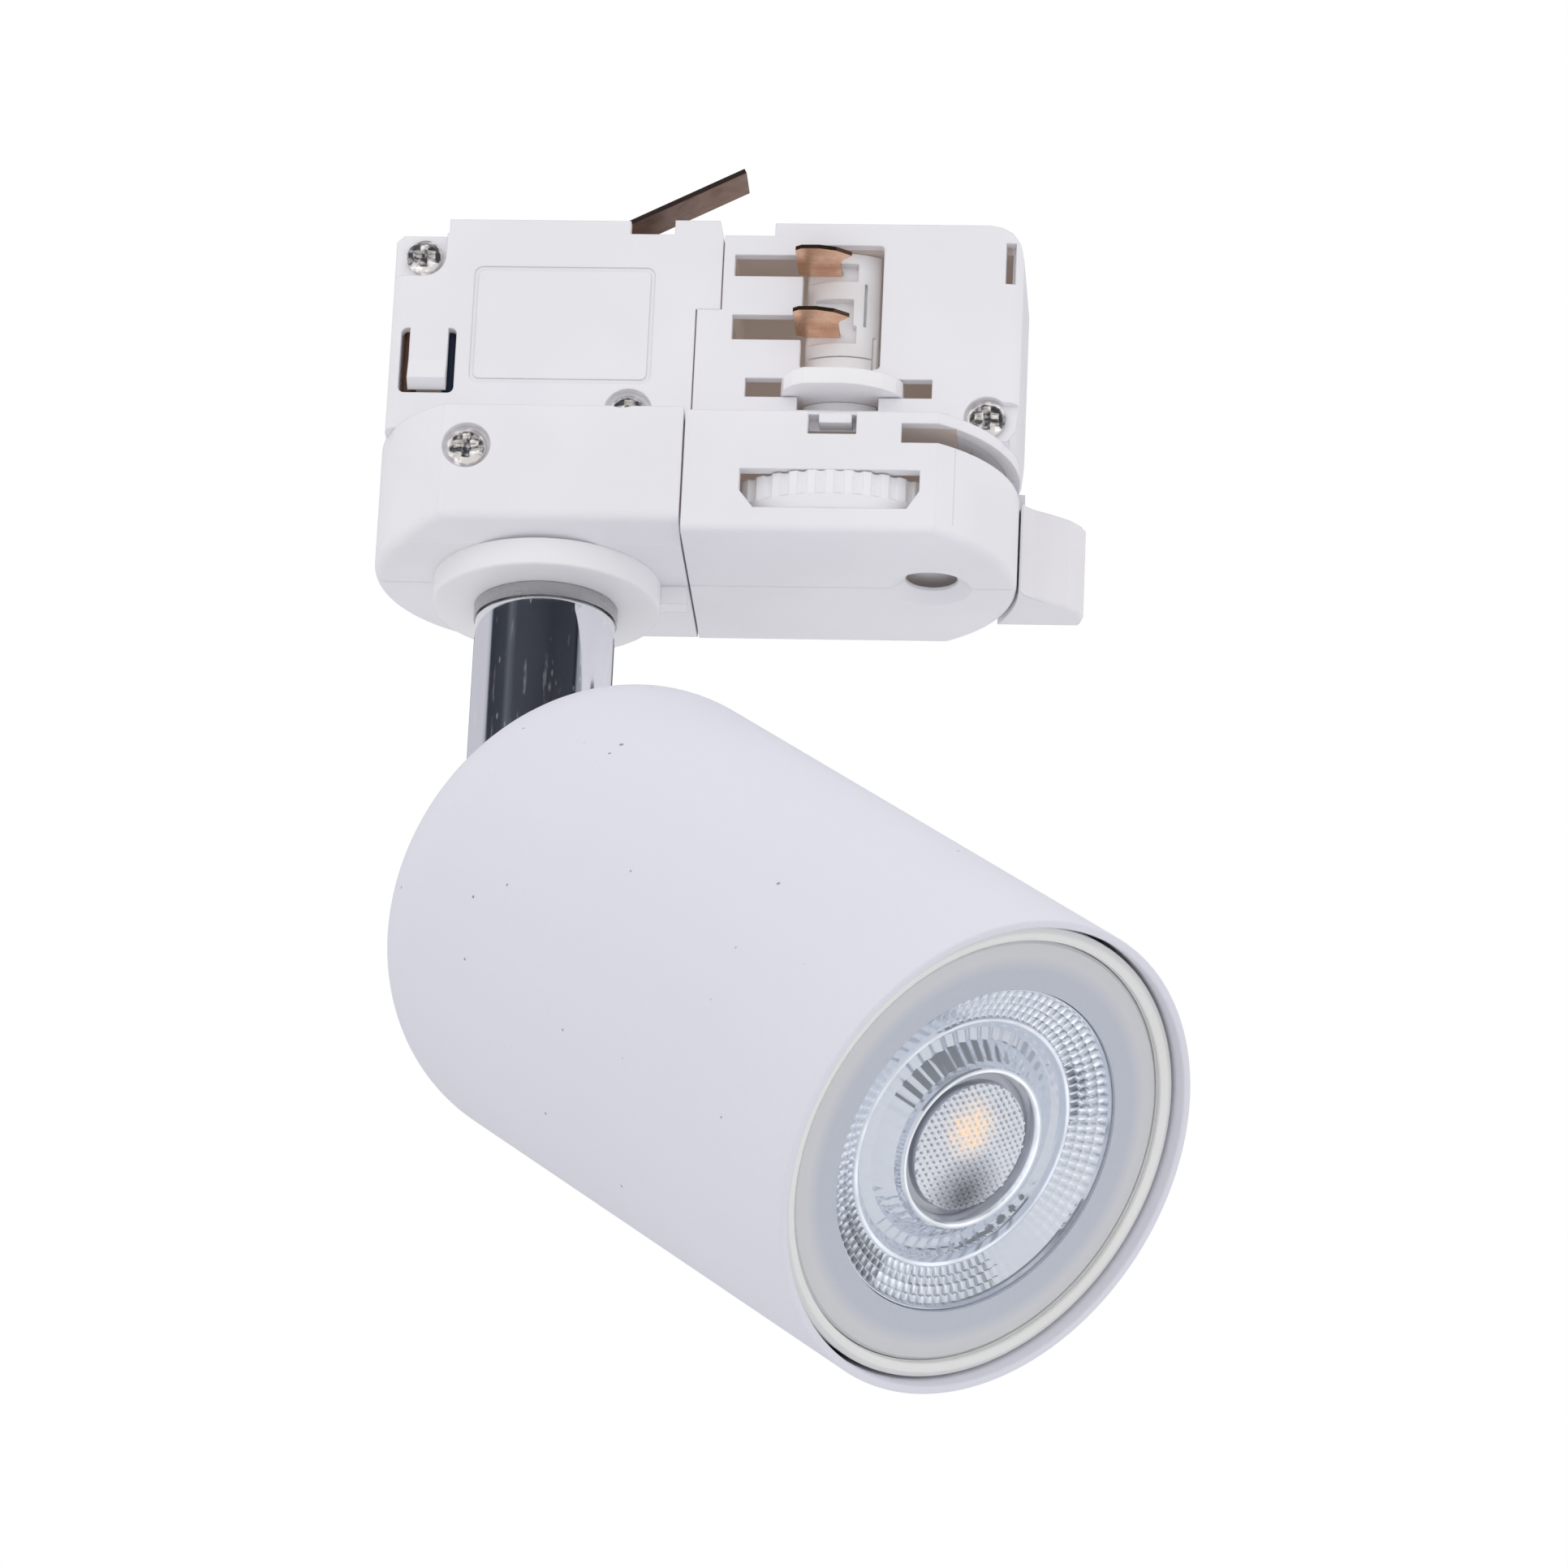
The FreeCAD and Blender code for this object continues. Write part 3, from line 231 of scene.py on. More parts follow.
    def bump(self, height, depth, strength=1.0, soft_edge=0.0):
        """Bump of this depth in metres; soft_edge rounds the shading of sharp edges by that radius."""
        node = self.add("ShaderNodeBump")
        node.inputs["Strength"].default_value = strength
        node.inputs["Distance"].default_value = depth
        self.link(height, node.inputs["Height"])
        if soft_edge:
            edge = self.add("ShaderNodeBevel", samples=6)
            edge.inputs["Radius"].default_value = soft_edge
            self.link(edge.outputs["Normal"], node.inputs["Normal"])
        self.link(node.outputs["Normal"], self.shader.inputs["Normal"])


def tint(colour, factor):
    return tuple(min(1.0, part * factor) for part in colour[:3])


# ---------------------------------------------------------------- materials

def bounce_paint_mask(make):
    """1 on the walls inside the track housings and inside the base covers, where painted shade and painted bounce
    light go.
    """
    places = [make.axis(letter) for letter in "XYZ"]
    masks = []
    for box in SHELL_INSIDES:
        sides = [make.between(place, low * MM, high * MM) for place, (low, high) in zip(places, box)]
        masks.append(make.all_of(*sides))
    return make.maths("MAXIMUM", *masks)


def moulded_plastic(name, colour, rough=0.42, grain=0.00001, edge=0.00025, depth=0.04, painted_bounce=False):
    """Injection-moulded plastic: faint flow shading, fine grain and softened edges; light enters to a depth. With
    painted_bounce, the inside walls are painted a warm shade with faint emission for bounced light.
    """
    make = Material(name)
    broad = make.noise(55.0, 2.0)
    fine = make.noise(900.0, 4.0, 0.6)
    base = make.blend(make.remap(broad, 0.35, 0.65, 0.0, 1.0), tint(colour, 0.975), tint(colour, 1.015))
    dust = make.cells(420.0)
    speck = make.remap(dust, 0.03, 0.05, 1.0, 0.0)
    rare = make.remap(make.noise(140.0, 1.0), 0.60, 0.66, 0.0, 0.35)
    base = make.blend(make.maths("MULTIPLY", speck, rare), base, tint(colour, 0.7))
    if painted_bounce:
        # Painted shade and bounce light: the inside walls are coloured warm grey-brown and given faint emission.
        mask = bounce_paint_mask(make)
        base = make.blend(mask, base, (0.56, 0.49, 0.45))
        make.glow((0.085, 0.070, 0.062), mask)
    make.colour(base)
    make.roughness(make.remap(fine, 0.3, 0.7, rough - 0.05, rough + 0.07))
    make.set(IOR=1.49)
    make.shader.inputs["Subsurface Weight"].default_value = depth
    make.shader.inputs["Subsurface Radius"].default_value = (2 * MM, 2 * MM, 2 * MM)
    make.shader.inputs["Subsurface Scale"].default_value = 1.0
    make.bump(fine, grain, 0.6, edge)
    return make.material


def powder_coat(name, colour):
    """Matt powder coat: orange peel, fine grit and a few dark specks."""
    make = Material(name)
    peel = make.noise(650.0, 3.0, 0.55)
    grit = make.noise(3200.0, 3.0, 0.7)
    broad = make.noise(28.0, 2.0)
    base = make.blend(make.remap(broad, 0.35, 0.65, 0.0, 1.0), tint(colour, 0.985), tint(colour, 1.012))
    base = make.blend(make.remap(grit, 0.25, 0.8, 0.0, 1.0), tint(colour, 0.965), base)
    for scale, size in ((150.0, 0.030), (310.0, 0.042)):
        pit = make.remap(make.cells(scale), size, size * 1.6, 1.0, 0.0)
        chance = make.remap(make.cells(scale, output="Color"), 0.66, 0.72, 0.0, 0.75)
        base = make.blend(make.maths("MULTIPLY", pit, chance), base, (0.16, 0.16, 0.17))
    make.colour(base)
    make.roughness(make.remap(grit, 0.3, 0.7, 0.50, 0.66))
    height = make.maths("ADD", peel, make.maths("MULTIPLY", grit, 0.45))
    make.bump(height, 0.00003, 0.55)
    return make.material


def chrome(name):
    """Polished chrome with faint wipe marks, small scratches and dust, and painted highlights where the scratches
    and dust lie.
    """
    make = Material(name)
    make.set(Metallic=1.0)
    wipe = make.noise(170.0, 5.0, 0.65, make.stretched((1.0, 1.0, 0.18)))
    scratch = make.noise(1500.0, 3.0, 0.6, make.stretched((0.8, 0.8, 0.12)))
    line = make.remap(scratch, 0.62, 0.70, 0.0, 1.0)
    dust = make.remap(make.cells(1400.0, vector=make.stretched((1.0, 1.0, 0.30))), 0.10, 0.22, 1.0, 0.0)
    patch = make.remap(make.noise(240.0, 3.0), 0.48, 0.64, 0.0, 0.7)
    marks = make.maths("MULTIPLY", dust, patch)
    marks = make.maths("MAXIMUM", marks, make.maths("MULTIPLY", line, 0.30))
    make.colour(make.blend(marks, (0.92, 0.93, 0.96), (0.80, 0.81, 0.84)))
    smear = make.remap(wipe, 0.40, 0.75, 0.04, 0.20)
    make.roughness(make.maths("ADD", smear, make.maths("MULTIPLY", marks, 0.30)))
    # Painted highlights: faint emission on the scratches and dust, as if they caught the light.
    make.glow((0.34, 0.35, 0.38), make.maths("MULTIPLY", marks, make.remap(wipe, 0.35, 0.65, 0.3, 1.0)))
    return make.material


def turned_steel(name, colour=(0.62, 0.61, 0.60), rough=0.28):
    """Satin steel with fine turning marks."""
    make = Material(name)
    make.set(Metallic=1.0)
    lines = make.noise(2500.0, 2.0, 0.6, make.stretched((0.08, 0.08, 1.0)))
    make.colour(make.blend(lines, tint(colour, 0.85), tint(colour, 1.15)))
    make.roughness(make.remap(lines, 0.3, 0.7, rough - 0.06, rough + 0.1))
    make.bump(lines, 0.000004, 0.5, 0.0001)
    return make.material


def nickel(name):
    """Bright nickel plating, a little warm, with handling marks and painted glints."""
    make = Material(name)
    make.set(Metallic=1.0)
    cloud = make.noise(1000.0, 2.0)
    make.colour(make.blend(cloud, (0.70, 0.67, 0.64), (0.96, 0.94, 0.92)))
    make.roughness(make.remap(cloud, 0.3, 0.7, 0.12, 0.28))
    # Painted glints: faint emission on the brighter clouds, standing in for light caught by the plating.
    painted_glint = make.remap(cloud, 0.50, 0.64, 0.0, 0.70)
    make.glow((0.50, 0.48, 0.46), painted_glint)
    make.bump(cloud, 0.00014, 0.9, 0.0003)
    return make.material


def copper(name, bright, dark, rough, edge_shade=1.0):
    """Copper strip: rolled marks along its length and tarnish clouds."""
    make = Material(name)
    make.set(Metallic=1.0)
    cloud = make.noise(380.0, 4.0, 0.6)
    rolled = make.noise(1800.0, 2.0, 0.5, make.stretched((0.06, 1.0, 0.06)))
    base = make.blend(make.remap(cloud, 0.35, 0.7, 0.0, 1.0), bright, dark)
    base = make.blend(make.remap(rolled, 0.3, 0.7, 0.0, 0.4), base, tint(bright, 1.1))
    facing = make.add("ShaderNodeNewGeometry")
    parts = make.add("ShaderNodeSeparateXYZ")
    make.link(facing.outputs["Normal"], parts.inputs["Vector"])
    level = make.remap(make.maths("ABSOLUTE", parts.outputs["Z"]), 0.3, 0.8, 0.0, 1.0)
    make.colour(make.blend(level, tint(dark, edge_shade), base))
    make.roughness(make.remap(cloud, 0.3, 0.7, rough, rough + 0.15))
    make.bump(rolled, 0.000005, 0.5, 0.00008)
    return make.material


def lens_zone(make, reach, limits):
    """1 on the ring of the optic between two radii."""
    return make.between(reach, limits[0] * MM, limits[1] * MM)


def painted_flute_reflections(make, reach, turn):
    """Painted dark reflections and painted highlights on the outer flutes, strongest on two opposite sides."""
    side = make.maths("ABSOLUTE", make.maths("COSINE", make.maths("SUBTRACT", turn, FLUTE_DIRECTION)))
    zone = make.maths("MULTIPLY", make.maths("POWER", side, 1.6), lens_zone(make, reach, FLUTE_ZONE))
    wobble = make.maths("MULTIPLY", make.noise(1100.0, 2.0), 2.2)
    stroke = make.maths("SINE", make.maths("ADD", make.maths("MULTIPLY", turn, float(FLUTES)), wobble))
    row = make.maths("FRACT", make.maths("DIVIDE", reach, FLUTE_ROW * MM))
    dark = make.all_of(zone, make.remap(stroke, 0.35, 0.9, 0.0, 0.75), make.remap(row, 0.15, 0.5, 0.0, 1.0))
    bright = make.all_of(zone, make.remap(stroke, -0.9, -0.4, 1.0, 0.0), make.remap(row, 0.2, 0.9, 1.0, 0.1))
    return dark, bright


def lens_spot(make, place, inner, outer, strength):
    """A soft round patch on the optic, fading out between two radii."""
    along, across, up = tube_axes()
    centre = middle_of("lamp_ring") + (across * place[0] + up * place[1]) * MM
    return make.remap(make.from_axis(make.offset(centre), along), inner * MM, outer * MM, strength, 0.0)


def lens_plastic(name):
    """Bright moulded optic: silvery facets, finer in the middle, with the yellow emitters showing through as a
    painted patch; painted highlights, dark reflections and shade on its facets, with faint emission.
    """
    make = Material(name)
    along, across, up = tube_axes()
    spot = make.offset(middle_of("lamp_ring"))
    reach = make.from_axis(spot, along)
    swirl = make.noise(900.0, 3.0)
    base = make.blend(swirl, (0.74, 0.78, 0.86), (0.94, 0.96, 1.0))
    clear = make.maths("MULTIPLY", lens_zone(make, reach, CLEAR_ZONE), 0.65)
    base = make.blend(clear, base, (0.70, 0.75, 0.84))
    dark, bright = painted_flute_reflections(make, reach, make.turn_about(spot, across, up))
    # Painted dark reflections on the flutes.
    base = make.blend(dark, base, (0.30, 0.31, 0.35))
    # Painted highlights: two broken bright rings, joined with the bright flute strokes.
    rings = make.maths("ADD", *(lens_zone(make, reach, ring) for ring in PAINTED_HIGHLIGHT_RINGS))
    broken = make.remap(make.noise(160.0, 2.0), 0.35, 0.65, 0.10, 0.75)
    painted_sparkle = make.maths("MAXIMUM", bright, make.maths("MULTIPLY", rings, broken))
    # Painted shade in the deep well around the micro lenses.
    base = make.blend(lens_zone(make, reach, WELL_ZONE), base, (0.50, 0.52, 0.57))
    grain = make.remap(make.cells(1350.0), 0.1, 0.5, 1.0, 0.35)
    # The emitters: an orange patch painted where the LEDs show through, with faint emission as painted light.
    emitters = make.maths("MULTIPLY", lens_spot(make, EMITTER_PLACE, 1.2, 3.9, 1.0), grain)
    # Painted shade: a dark patch on the micro lenses, standing in for a dark reflection.
    shade = lens_spot(make, SHADE_PLACE, 0.8, 5.4, 0.90)
    micro_zone = make.between(reach, -1.0, MICRO_RADIUS * MM)
    base = make.blend(make.maths("MULTIPLY", shade, micro_zone), base, (0.16, 0.17, 0.20))
    make.colour(make.blend(emitters, base, (0.98, 0.62, 0.28)))
    # Painted light: grey emission for the painted highlights, orange over the emitters.
    painted_glow_colour = make.blend(emitters, (0.42, 0.43, 0.45), (0.44, 0.24, 0.10))
    make.glow(painted_glow_colour, make.maths("MAXIMUM", painted_sparkle, emitters))
    make.link(make.remap(emitters, 0.0, 1.0, 0.62, 0.10), make.shader.inputs["Metallic"])
    make.roughness(make.remap(swirl, 0.3, 0.7, 0.03, 0.10))
    make.set(IOR=1.49)
    make.shader.inputs["Coat Weight"].default_value = 0.6
    make.shader.inputs["Coat Roughness"].default_value = 0.05
    return make.material


def frosted_plastic(name):
    """Frosted diffuser: milky, lighter towards its outer edge."""
    make = Material(name)
    reach = make.from_axis(make.offset(middle_of("lamp_ring")), tube_axes()[0])
    outward = make.remap(reach, 20.6 * MM, 22.2 * MM, 0.0, 1.0)
    grain = make.noise(2600.0, 3.0)
    base = make.blend(outward, (0.68, 0.72, 0.82), (0.84, 0.85, 0.88))
    make.colour(make.blend(make.remap(grain, 0.3, 0.7, 0.0, 0.2), base, (0.80, 0.82, 0.87)))
    make.roughness(make.remap(grain, 0.3, 0.7, 0.36, 0.5))
    make.shader.inputs["Transmission Weight"].default_value = 0.25
    make.set(IOR=1.49)
    make.bump(grain, 0.00001, 0.4, 0.0001)
    return make.material


def phosphor(name):
    """Yellow LED phosphor, glowing faintly."""
    make = Material(name)
    grain = make.noise(2500.0, 2.0)
    make.colour(make.blend(grain, (0.95, 0.62, 0.16), (1.0, 0.74, 0.30)))
    make.roughness(make.remap(grain, 0.3, 0.7, 0.5, 0.7))
    make.shader.inputs["Emission Color"].default_value = (1.0, 0.62, 0.25, 1.0)
    make.shader.inputs["Emission Strength"].default_value = 0.7
    return make.material


def insulation(name, colour):
    return moulded_plastic(name, colour, rough=0.38, depth=0.0)


def material_set():
    """One material for each slot named in the record."""
    return {
        "housing_plastic": moulded_plastic("moulded_cool_white", (0.885, 0.875, 0.915), painted_bounce=True),
        "disc_plastic": moulded_plastic("moulded_bright_white", (0.945, 0.935, 0.955), rough=0.34),
        "drum_plastic": moulded_plastic("moulded_drum_white", (0.925, 0.915, 0.935), rough=0.36),
        "lever_plastic": moulded_plastic("moulded_lever_white", (0.850, 0.835, 0.875)),
        "dial_plastic": moulded_plastic("moulded_dial_white", (0.930, 0.925, 0.945), rough=0.34),
        "screw_nickel": nickel("nickel_plate"),
        "copper": copper("bright_copper", (0.93, 0.62, 0.44), (0.72, 0.42, 0.28), 0.22, 0.35),
        "earth_copper": copper("dull_copper", (0.30, 0.205, 0.165), (0.20, 0.14, 0.12), 0.42),
        "steel": turned_steel("satin_steel", (0.50, 0.50, 0.51)),
        "pole_chrome": chrome("polished_chrome"),
        "powder_coat": powder_coat("white_powder_coat", (0.785, 0.785, 0.865)),
        "ceramic": moulded_plastic("ceramic", (0.88, 0.86, 0.80), rough=0.6, grain=0.00003, depth=0.0),
        "lamp_white": moulded_plastic("lamp_white", (0.86, 0.86, 0.85)),
        "lamp_cream": moulded_plastic("lamp_cream", (0.88, 0.88, 0.865), rough=0.36),
        "frosted": frosted_plastic("frosted_diffuser"),
        "clear_optic": lens_plastic("clear_optic"),
        "led_phosphor": phosphor("led_phosphor"),
        "board": moulded_plastic("white_board", (0.86, 0.86, 0.84), rough=0.3, depth=0.0),
        "terminal_grey": moulded_plastic("terminal_grey", (0.50, 0.50, 0.48)),
        "lead_brown": insulation("lead_brown", (0.16, 0.075, 0.045)),
        "lead_blue": insulation("lead_blue", (0.015, 0.03, 0.07)),
        "lead_earth": insulation("lead_earth", (0.22, 0.48, 0.10)),
    }


def dress_nodes(materials):
    for entry in frame["record"]["subparts"]:
        piece = NODES[entry["node"]]
        piece.data.materials.clear()
        piece.data.materials.append(materials[entry["material_slot"]])


# ---------------------------------------------------------------- optic

def profile_height(radius):
    for (inner, low), (outer, high) in zip(LENS_PROFILE, LENS_PROFILE[1:]):
        if radius <= outer:
            share = (radius - inner) / (outer - inner)
            return low + (high - low) * share
    return LENS_PROFILE[-1][1]


def lens_height(radius, turn):
    """Height of the optic's surface in millimetres: micro lenses, clear steps and rows of outer flutes."""
    height = profile_height(radius)
    if radius < MICRO_RADIUS:
        x, y = radius * math.cos(turn), radius * math.sin(turn)
        rate = 4 * math.pi / math.sqrt(3) / MICRO_PITCH
        waves = sum(math.cos(rate * (x * math.cos(bend) + y * math.sin(bend)))
                    for bend in (0.0, math.pi / 3, 2 * math.pi / 3))
        return height + MICRO_DEPTH * waves
    if RIDGE_ZONE[0] < radius < RIDGE_ZONE[1]:
        return height + RIDGE_DEPTH * math.cos(turn * FLUTES / 2) * abs(math.sin(turn - RIDGE_DIRECTION))
    if FLUTE_ZONE[0] < radius < FLUTE_ZONE[1]:
        across_row = (radius - FLUTE_ZONE[0]) / FLUTE_ROW
        step = (turn * FLUTES / (2 * math.pi) + 0.5 * math.floor(across_row)) % 1.0
        strength = abs(math.cos(turn - FLUTE_DIRECTION)) ** 2.5
        ridge = FLUTE_DEPTH * abs(2 * step - 1) - FLUTE_SLOPE * (across_row % 1.0)
        return height + strength * (ridge - FLUTE_SINK)
    return height


def lens_radii():
    """Radii of the rings of points: close together over the micro lenses, wider apart outside them."""
    fine = [index * FINE_STEP for index in range(1, int(MICRO_RADIUS / FINE_STEP) + 1)]
    start = MICRO_RADIUS + 0.02
    coarse = [start + COARSE_STEP * index for index in range(int((LENS_RADIUS - start) / COARSE_STEP) + 1)]
    return fine + coarse + [LENS_RADIUS]


def lens_piece():
    """The optic's faceted front and its skirt, in place of the plain solid."""
    along, across, up = tube_axes()
    middle = middle_of("lamp_ring")
    front = max(Vector(vertex.co).dot(along) for vertex in NODES["optic_lens"].data.vertices)
    middle = middle + along * (front - middle.dot(along))
    mesh = bmesh.new()
    centre = mesh.verts.new(middle + along * lens_height(0.0, 0.0) * MM)
    turns = [2 * math.pi * index / LENS_STEPS for index in range(LENS_STEPS)]
    outward = [across * math.cos(turn) + up * math.sin(turn) for turn in turns]
    rows = [[mesh.verts.new(middle + (away * radius + along * lens_height(radius, turn)) * MM)
             for turn, away in zip(turns, outward)] for radius in lens_radii()]
    rows.append([mesh.verts.new(middle + (away * LENS_RADIUS - along * SKIRT_DEPTH) * MM) for away in outward])
    for index in range(LENS_STEPS):
        after = (index + 1) % LENS_STEPS
        mesh.faces.new((centre, rows[0][index], rows[0][after]))
        for inner, outer in zip(rows, rows[1:]):
            mesh.faces.new((inner[index], outer[index], outer[after], inner[after]))
    bmesh.ops.recalc_face_normals(mesh, faces=mesh.faces)
    data = bpy.data.meshes.new("lens_facets")
    mesh.to_mesh(data)
    mesh.free()
    piece = bpy.data.objects.new("lens_facets", data)
    bpy.context.scene.collection.objects.link(piece)
    return piece


def build_lens(materials):
    piece = lens_piece()
    piece.data.materials.append(materials["clear_optic"])
    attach(piece, "lamp_head")
    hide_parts("optic_lens")


# ---------------------------------------------------------------- barrel

BARREL_NODES = ("barrel_upper", "barrel_left", "barrel_lower", "barrel_right")
RIM_SOFTNESS = 0.28     # radius of the rim's edges, in millimetres
CORNER_STEPS = 5
BARREL_STEPS = 256


def barrel_piece():
    """The tube's plain length turned in one piece, with a softened rim, where the solids are four quarters."""
    along, across, up = tube_axes()
    middle = middle_of("lamp_ring")
    origin = middle - along * middle.dot(along)
    points = [Vector(vertex.co) for name in BARREL_NODES for vertex in NODES[name].data.vertices]
    stations = [point.dot(along) for point in points]
    radii = [(point - origin - along * point.dot(along)).length for point in points]
    joint, rim = min(stations), max(stations)
    outer, inner = max(radii), min(radii)
    soft = RIM_SOFTNESS * MM
    corner = [index / CORNER_STEPS * math.pi / 2 for index in range(CORNER_STEPS + 1)]
    profile = [(outer, joint)]
    profile += [(outer - soft + soft * math.cos(bend), rim - soft + soft * math.sin(bend)) for bend in corner]
    profile += [(inner + soft - soft * math.sin(bend), rim - soft + soft * math.cos(bend)) for bend in corner]
    profile.append((inner, joint))
    mesh = bmesh.new()
    rows = []
    for index in range(BARREL_STEPS):
        turn = 2 * math.pi * index / BARREL_STEPS
        outward = across * math.cos(turn) + up * math.sin(turn)
        rows.append([mesh.verts.new(origin + outward * radius + along * station) for radius, station in profile])
    for index, row in enumerate(rows):
        after = rows[(index + 1) % BARREL_STEPS]
        for step in range(len(profile)):
            other = (step + 1) % len(profile)
            mesh.faces.new((row[step], row[other], after[other], after[step])).smooth = True
    bmesh.ops.recalc_face_normals(mesh, faces=mesh.faces)
    data = bpy.data.meshes.new("barrel_tube")
    mesh.to_mesh(data)
    mesh.free()
    data.set_sharp_from_angle(angle=math.radians(40.0))
    piece = bpy.data.objects.new("barrel_tube", data)
    bpy.context.scene.collection.objects.link(piece)
    return piece


def build_barrel(materials):
    piece = barrel_piece()
    piece.data.materials.append(materials["powder_coat"])
    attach(piece, "lamp_head")
    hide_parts(*BARREL_NODES)


# ---------------------------------------------------------------- studio

FLOOR_LEVEL = -0.75
FLOOR_REACH = 6.0
TENT_LOW = 0.68         # brightness of the tent below the object
TENT_HIGH = 1.02        # and above it
LAMP_AIM = (0.0, 0.0, -0.05)
LAMP_WIDTH = 0.9
LAMPS = (("key", (-0.9, -1.3, 0.9), 2.5), ("fill", (1.3, -1.0, 0.1), 1.0))

# Directions about the upright in degrees, 0 towards -Y, and the colour that polished metal sees there.
REFLECTED_BANDS = ((-180.0, (0.10, 0.10, 0.12)), (-166.0, (0.10, 0.10, 0.12)), (-160.0, (0.55, 0.55, 0.60)),
                   (-100.0, (0.56, 0.56, 0.61)), (-93.0, (0.40, 0.41, 0.46)), (-90.0, (0.030, 0.034, 0.045)),
                   (-60.0, (0.045, 0.050, 0.062)), (-52.0, (0.11, 0.12, 0.14)), (-40.0, (0.050, 0.055, 0.070)),
                   (20.0, (0.030, 0.033, 0.043)), (56.0, (0.040, 0.044, 0.055)), (62.0, (0.015, 0.016, 0.022)),
                   (66.0, (0.26, 0.28, 0.32)), (104.0, (0.42, 0.44, 0.49)), (116.0, (0.72, 0.72, 0.76)),
                   (160.0, (0.62, 0.62, 0.67)), (168.0, (0.10, 0.10, 0.12)), (180.0, (0.10, 0.10, 0.12)))

CAMERA_YAW = math.radians(4.580)
CAMERA_RISE = math.radians(22.322)
CAMERA_ROLL = math.radians(2.602)
CAMERA_PLACE = (0.10142, -0.91519, -0.41611)
CAMERA_LENS = 201.82
CAMERA_SENSOR = 36.0


def lamp(name, place, power):
    data = bpy.data.lights.new(name, "AREA")
    data.shape = "SQUARE"
    data.size = LAMP_WIDTH
    data.energy = power
    thing = bpy.data.objects.new(name, data)
    bpy.context.scene.collection.objects.link(thing)
    thing.location = place
    thing.visible_glossy = False
    thing.rotation_euler = (Vector(LAMP_AIM) - Vector(place)).to_track_quat("-Z", "Y").to_euler()


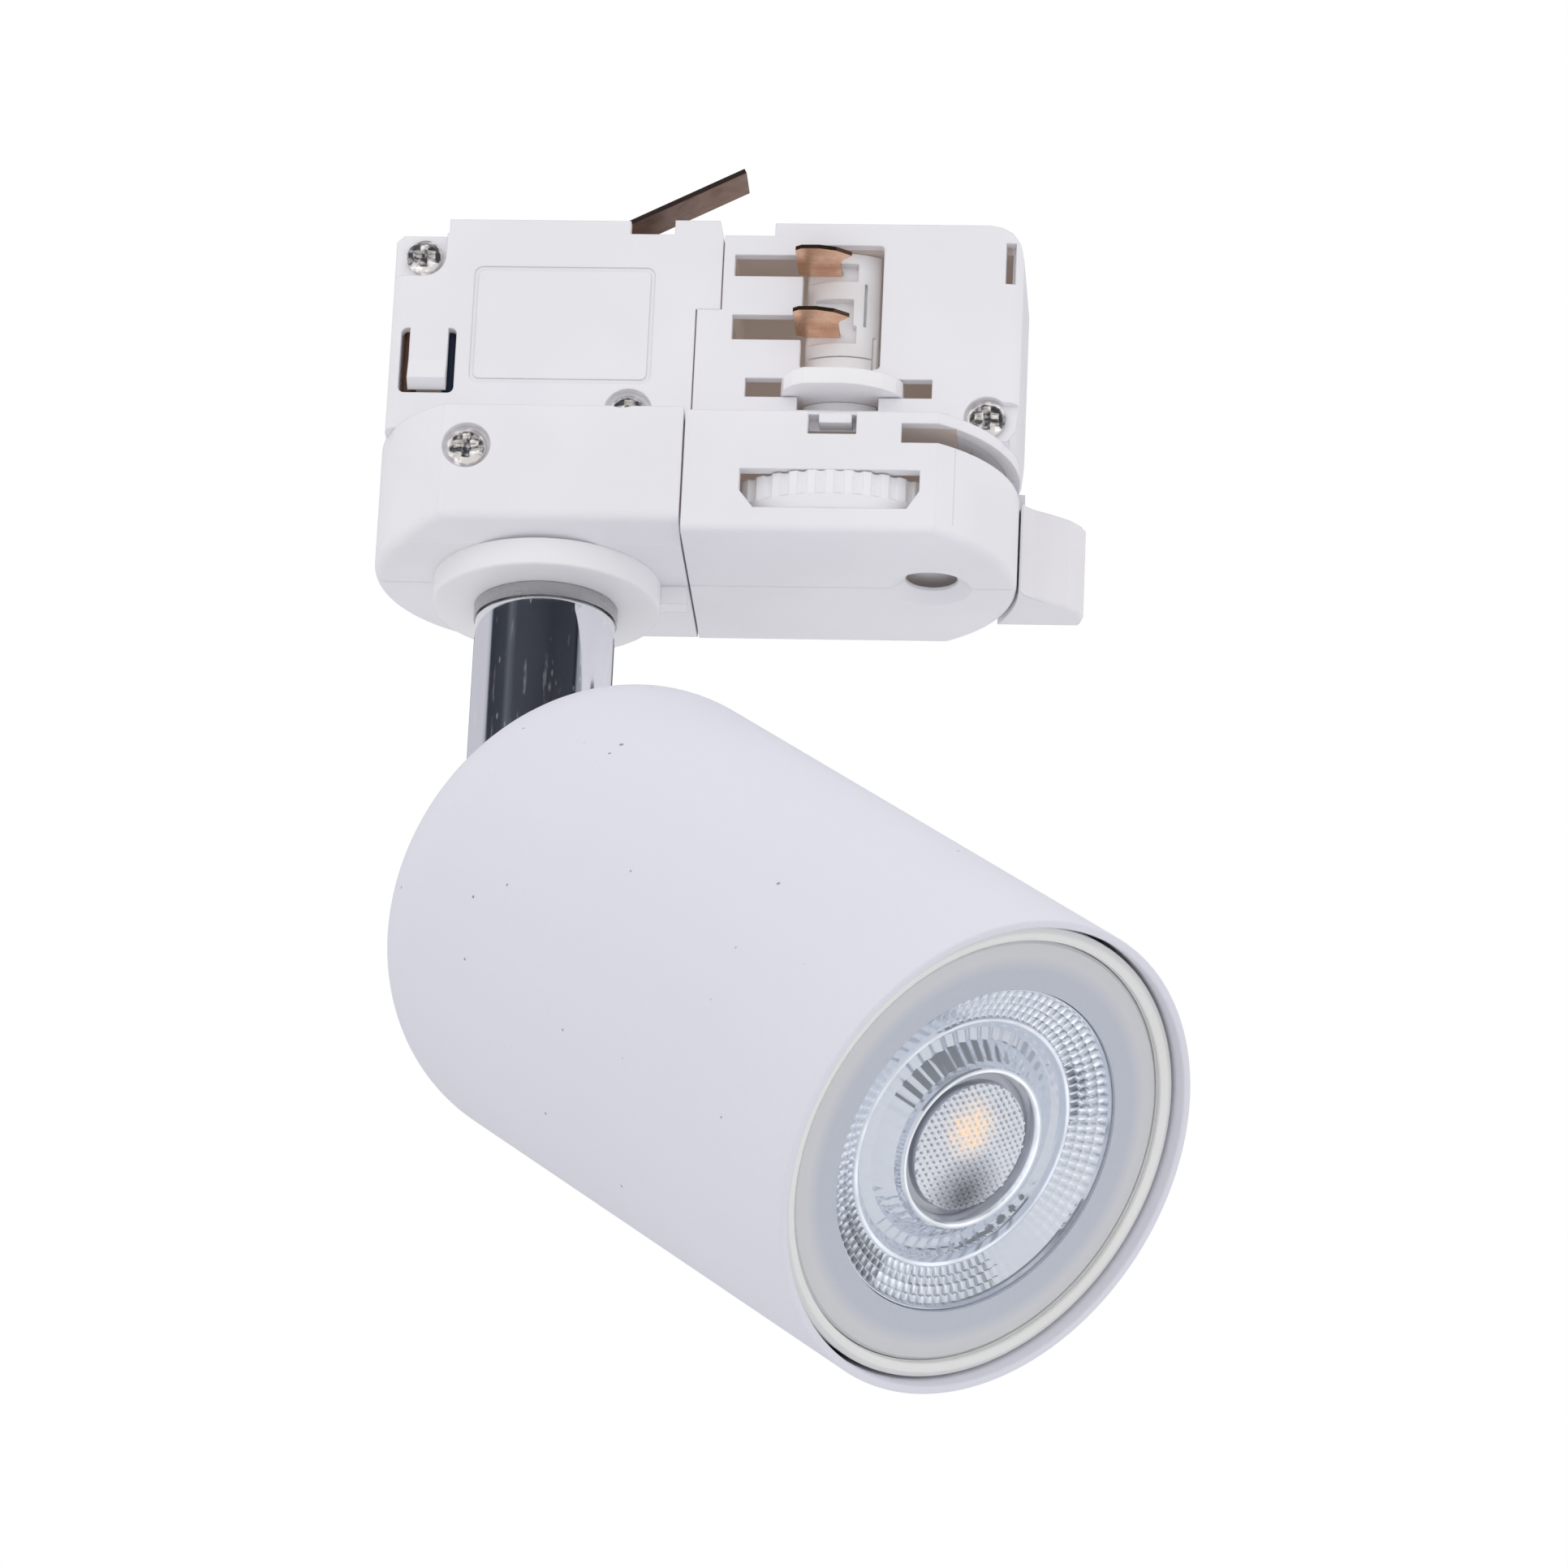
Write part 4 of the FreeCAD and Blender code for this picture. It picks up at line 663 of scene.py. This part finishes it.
def surroundings():
    """White to the eye, an even light tent for the matt surfaces and banded cards for the polished ones."""
    world = bpy.data.worlds.new("surroundings")
    bpy.context.scene.world = world
    world.use_nodes = True
    nodes = world.node_tree.nodes
    links = world.node_tree.links
    output = nodes["World Output"]
    background = nodes["Background"]
    background.inputs["Color"].default_value = (1.0, 1.0, 1.0, 1.0)
    place = nodes.new("ShaderNodeTexCoord")
    parts = nodes.new("ShaderNodeSeparateXYZ")
    links.new(place.outputs["Generated"], parts.inputs["Vector"])
    front = nodes.new("ShaderNodeMath")
    front.operation = "MULTIPLY"
    front.inputs[1].default_value = -1.0
    links.new(parts.outputs["Y"], front.inputs[0])
    turn = nodes.new("ShaderNodeMath")
    turn.operation = "ARCTAN2"
    links.new(parts.outputs["X"], turn.inputs[0])
    links.new(front.outputs["Value"], turn.inputs[1])
    share = nodes.new("ShaderNodeMapRange")
    share.inputs["From Min"].default_value = -math.pi
    share.inputs["From Max"].default_value = math.pi
    links.new(turn.outputs["Value"], share.inputs["Value"])
    bands = nodes.new("ShaderNodeValToRGB")
    stops = bands.color_ramp.elements
    while len(stops) < len(REFLECTED_BANDS):
        stops.new(0.5)
    for stop, band in zip(stops, REFLECTED_BANDS):
        stop.position = (band[0] + 180.0) / 360.0
    for stop, band in zip(stops, REFLECTED_BANDS):
        stop.color = band[1] + (1.0,)
    links.new(share.outputs["Result"], bands.inputs["Fac"])
    rise = nodes.new("ShaderNodeMapRange")
    for key, number in zip(("From Min", "From Max", "To Min", "To Max"), (-0.6, 0.8, TENT_LOW, TENT_HIGH)):
        rise.inputs[key].default_value = number
    links.new(parts.outputs["Z"], rise.inputs["Value"])
    tent = nodes.new("ShaderNodeBackground")
    tent.inputs["Color"].default_value = (1.0, 1.0, 1.0, 1.0)
    links.new(rise.outputs["Result"], tent.inputs["Strength"])
    cards = nodes.new("ShaderNodeBackground")
    links.new(bands.outputs["Color"], cards.inputs["Color"])
    paths = nodes.new("ShaderNodeLightPath")
    polished = nodes.new("ShaderNodeMixShader")
    links.new(paths.outputs["Is Glossy Ray"], polished.inputs["Fac"])
    links.new(tent.outputs["Background"], polished.inputs[1])
    links.new(cards.outputs["Background"], polished.inputs[2])
    seen = nodes.new("ShaderNodeMixShader")
    links.new(paths.outputs["Is Camera Ray"], seen.inputs["Fac"])
    links.new(polished.outputs["Shader"], seen.inputs[1])
    links.new(background.outputs["Background"], seen.inputs[2])
    links.new(seen.outputs["Shader"], output.inputs["Surface"])


def studio():
    """Pale floor, white surroundings and soft lights."""
    surroundings()
    floor_mesh = bpy.data.meshes.new("floor")
    corners = [(x * FLOOR_REACH, y * FLOOR_REACH, FLOOR_LEVEL) for x, y in ((-1, -1), (1, -1), (1, 1), (-1, 1))]
    floor_mesh.from_pydata(corners, [], [(0, 1, 2, 3)])
    floor = bpy.data.objects.new("floor", floor_mesh)
    bpy.context.scene.collection.objects.link(floor)
    make = Material("pale_floor")
    make.colour(make.blend(make.noise(6.0), (0.78, 0.78, 0.79), (0.82, 0.82, 0.83)))
    make.set(Roughness=0.8)
    floor_mesh.materials.append(make.material)
    for name, place, power in LAMPS:
        lamp(name, place, power)
    view = bpy.context.scene.view_settings
    view.view_transform = "Standard"
    view.look = "None"


def camera():
    """A long lens, about a metre away, below the object and looking up at it."""
    ahead = Vector((-math.sin(CAMERA_YAW), math.cos(CAMERA_YAW), 0.0))
    forward = ahead * math.cos(CAMERA_RISE) + Vector((0.0, 0.0, math.sin(CAMERA_RISE)))
    level = Vector((math.cos(CAMERA_YAW), math.sin(CAMERA_YAW), 0.0))
    upright = level.cross(forward)
    right = level * math.cos(CAMERA_ROLL) + upright * math.sin(CAMERA_ROLL)
    top = upright * math.cos(CAMERA_ROLL) - level * math.sin(CAMERA_ROLL)
    data = bpy.data.cameras.new("camera")
    data.sensor_width = CAMERA_SENSOR
    data.lens = CAMERA_LENS
    thing = bpy.data.objects.new("camera", data)
    bpy.context.scene.collection.objects.link(thing)
    turn = Matrix((right, top, -forward)).transposed()
    thing.matrix_world = Matrix.Translation(CAMERA_PLACE) @ turn.to_4x4()
    bpy.context.scene.camera = thing


finishes = material_set()
dress_nodes(finishes)
build_barrel(finishes)
build_lens(finishes)
studio()
camera()
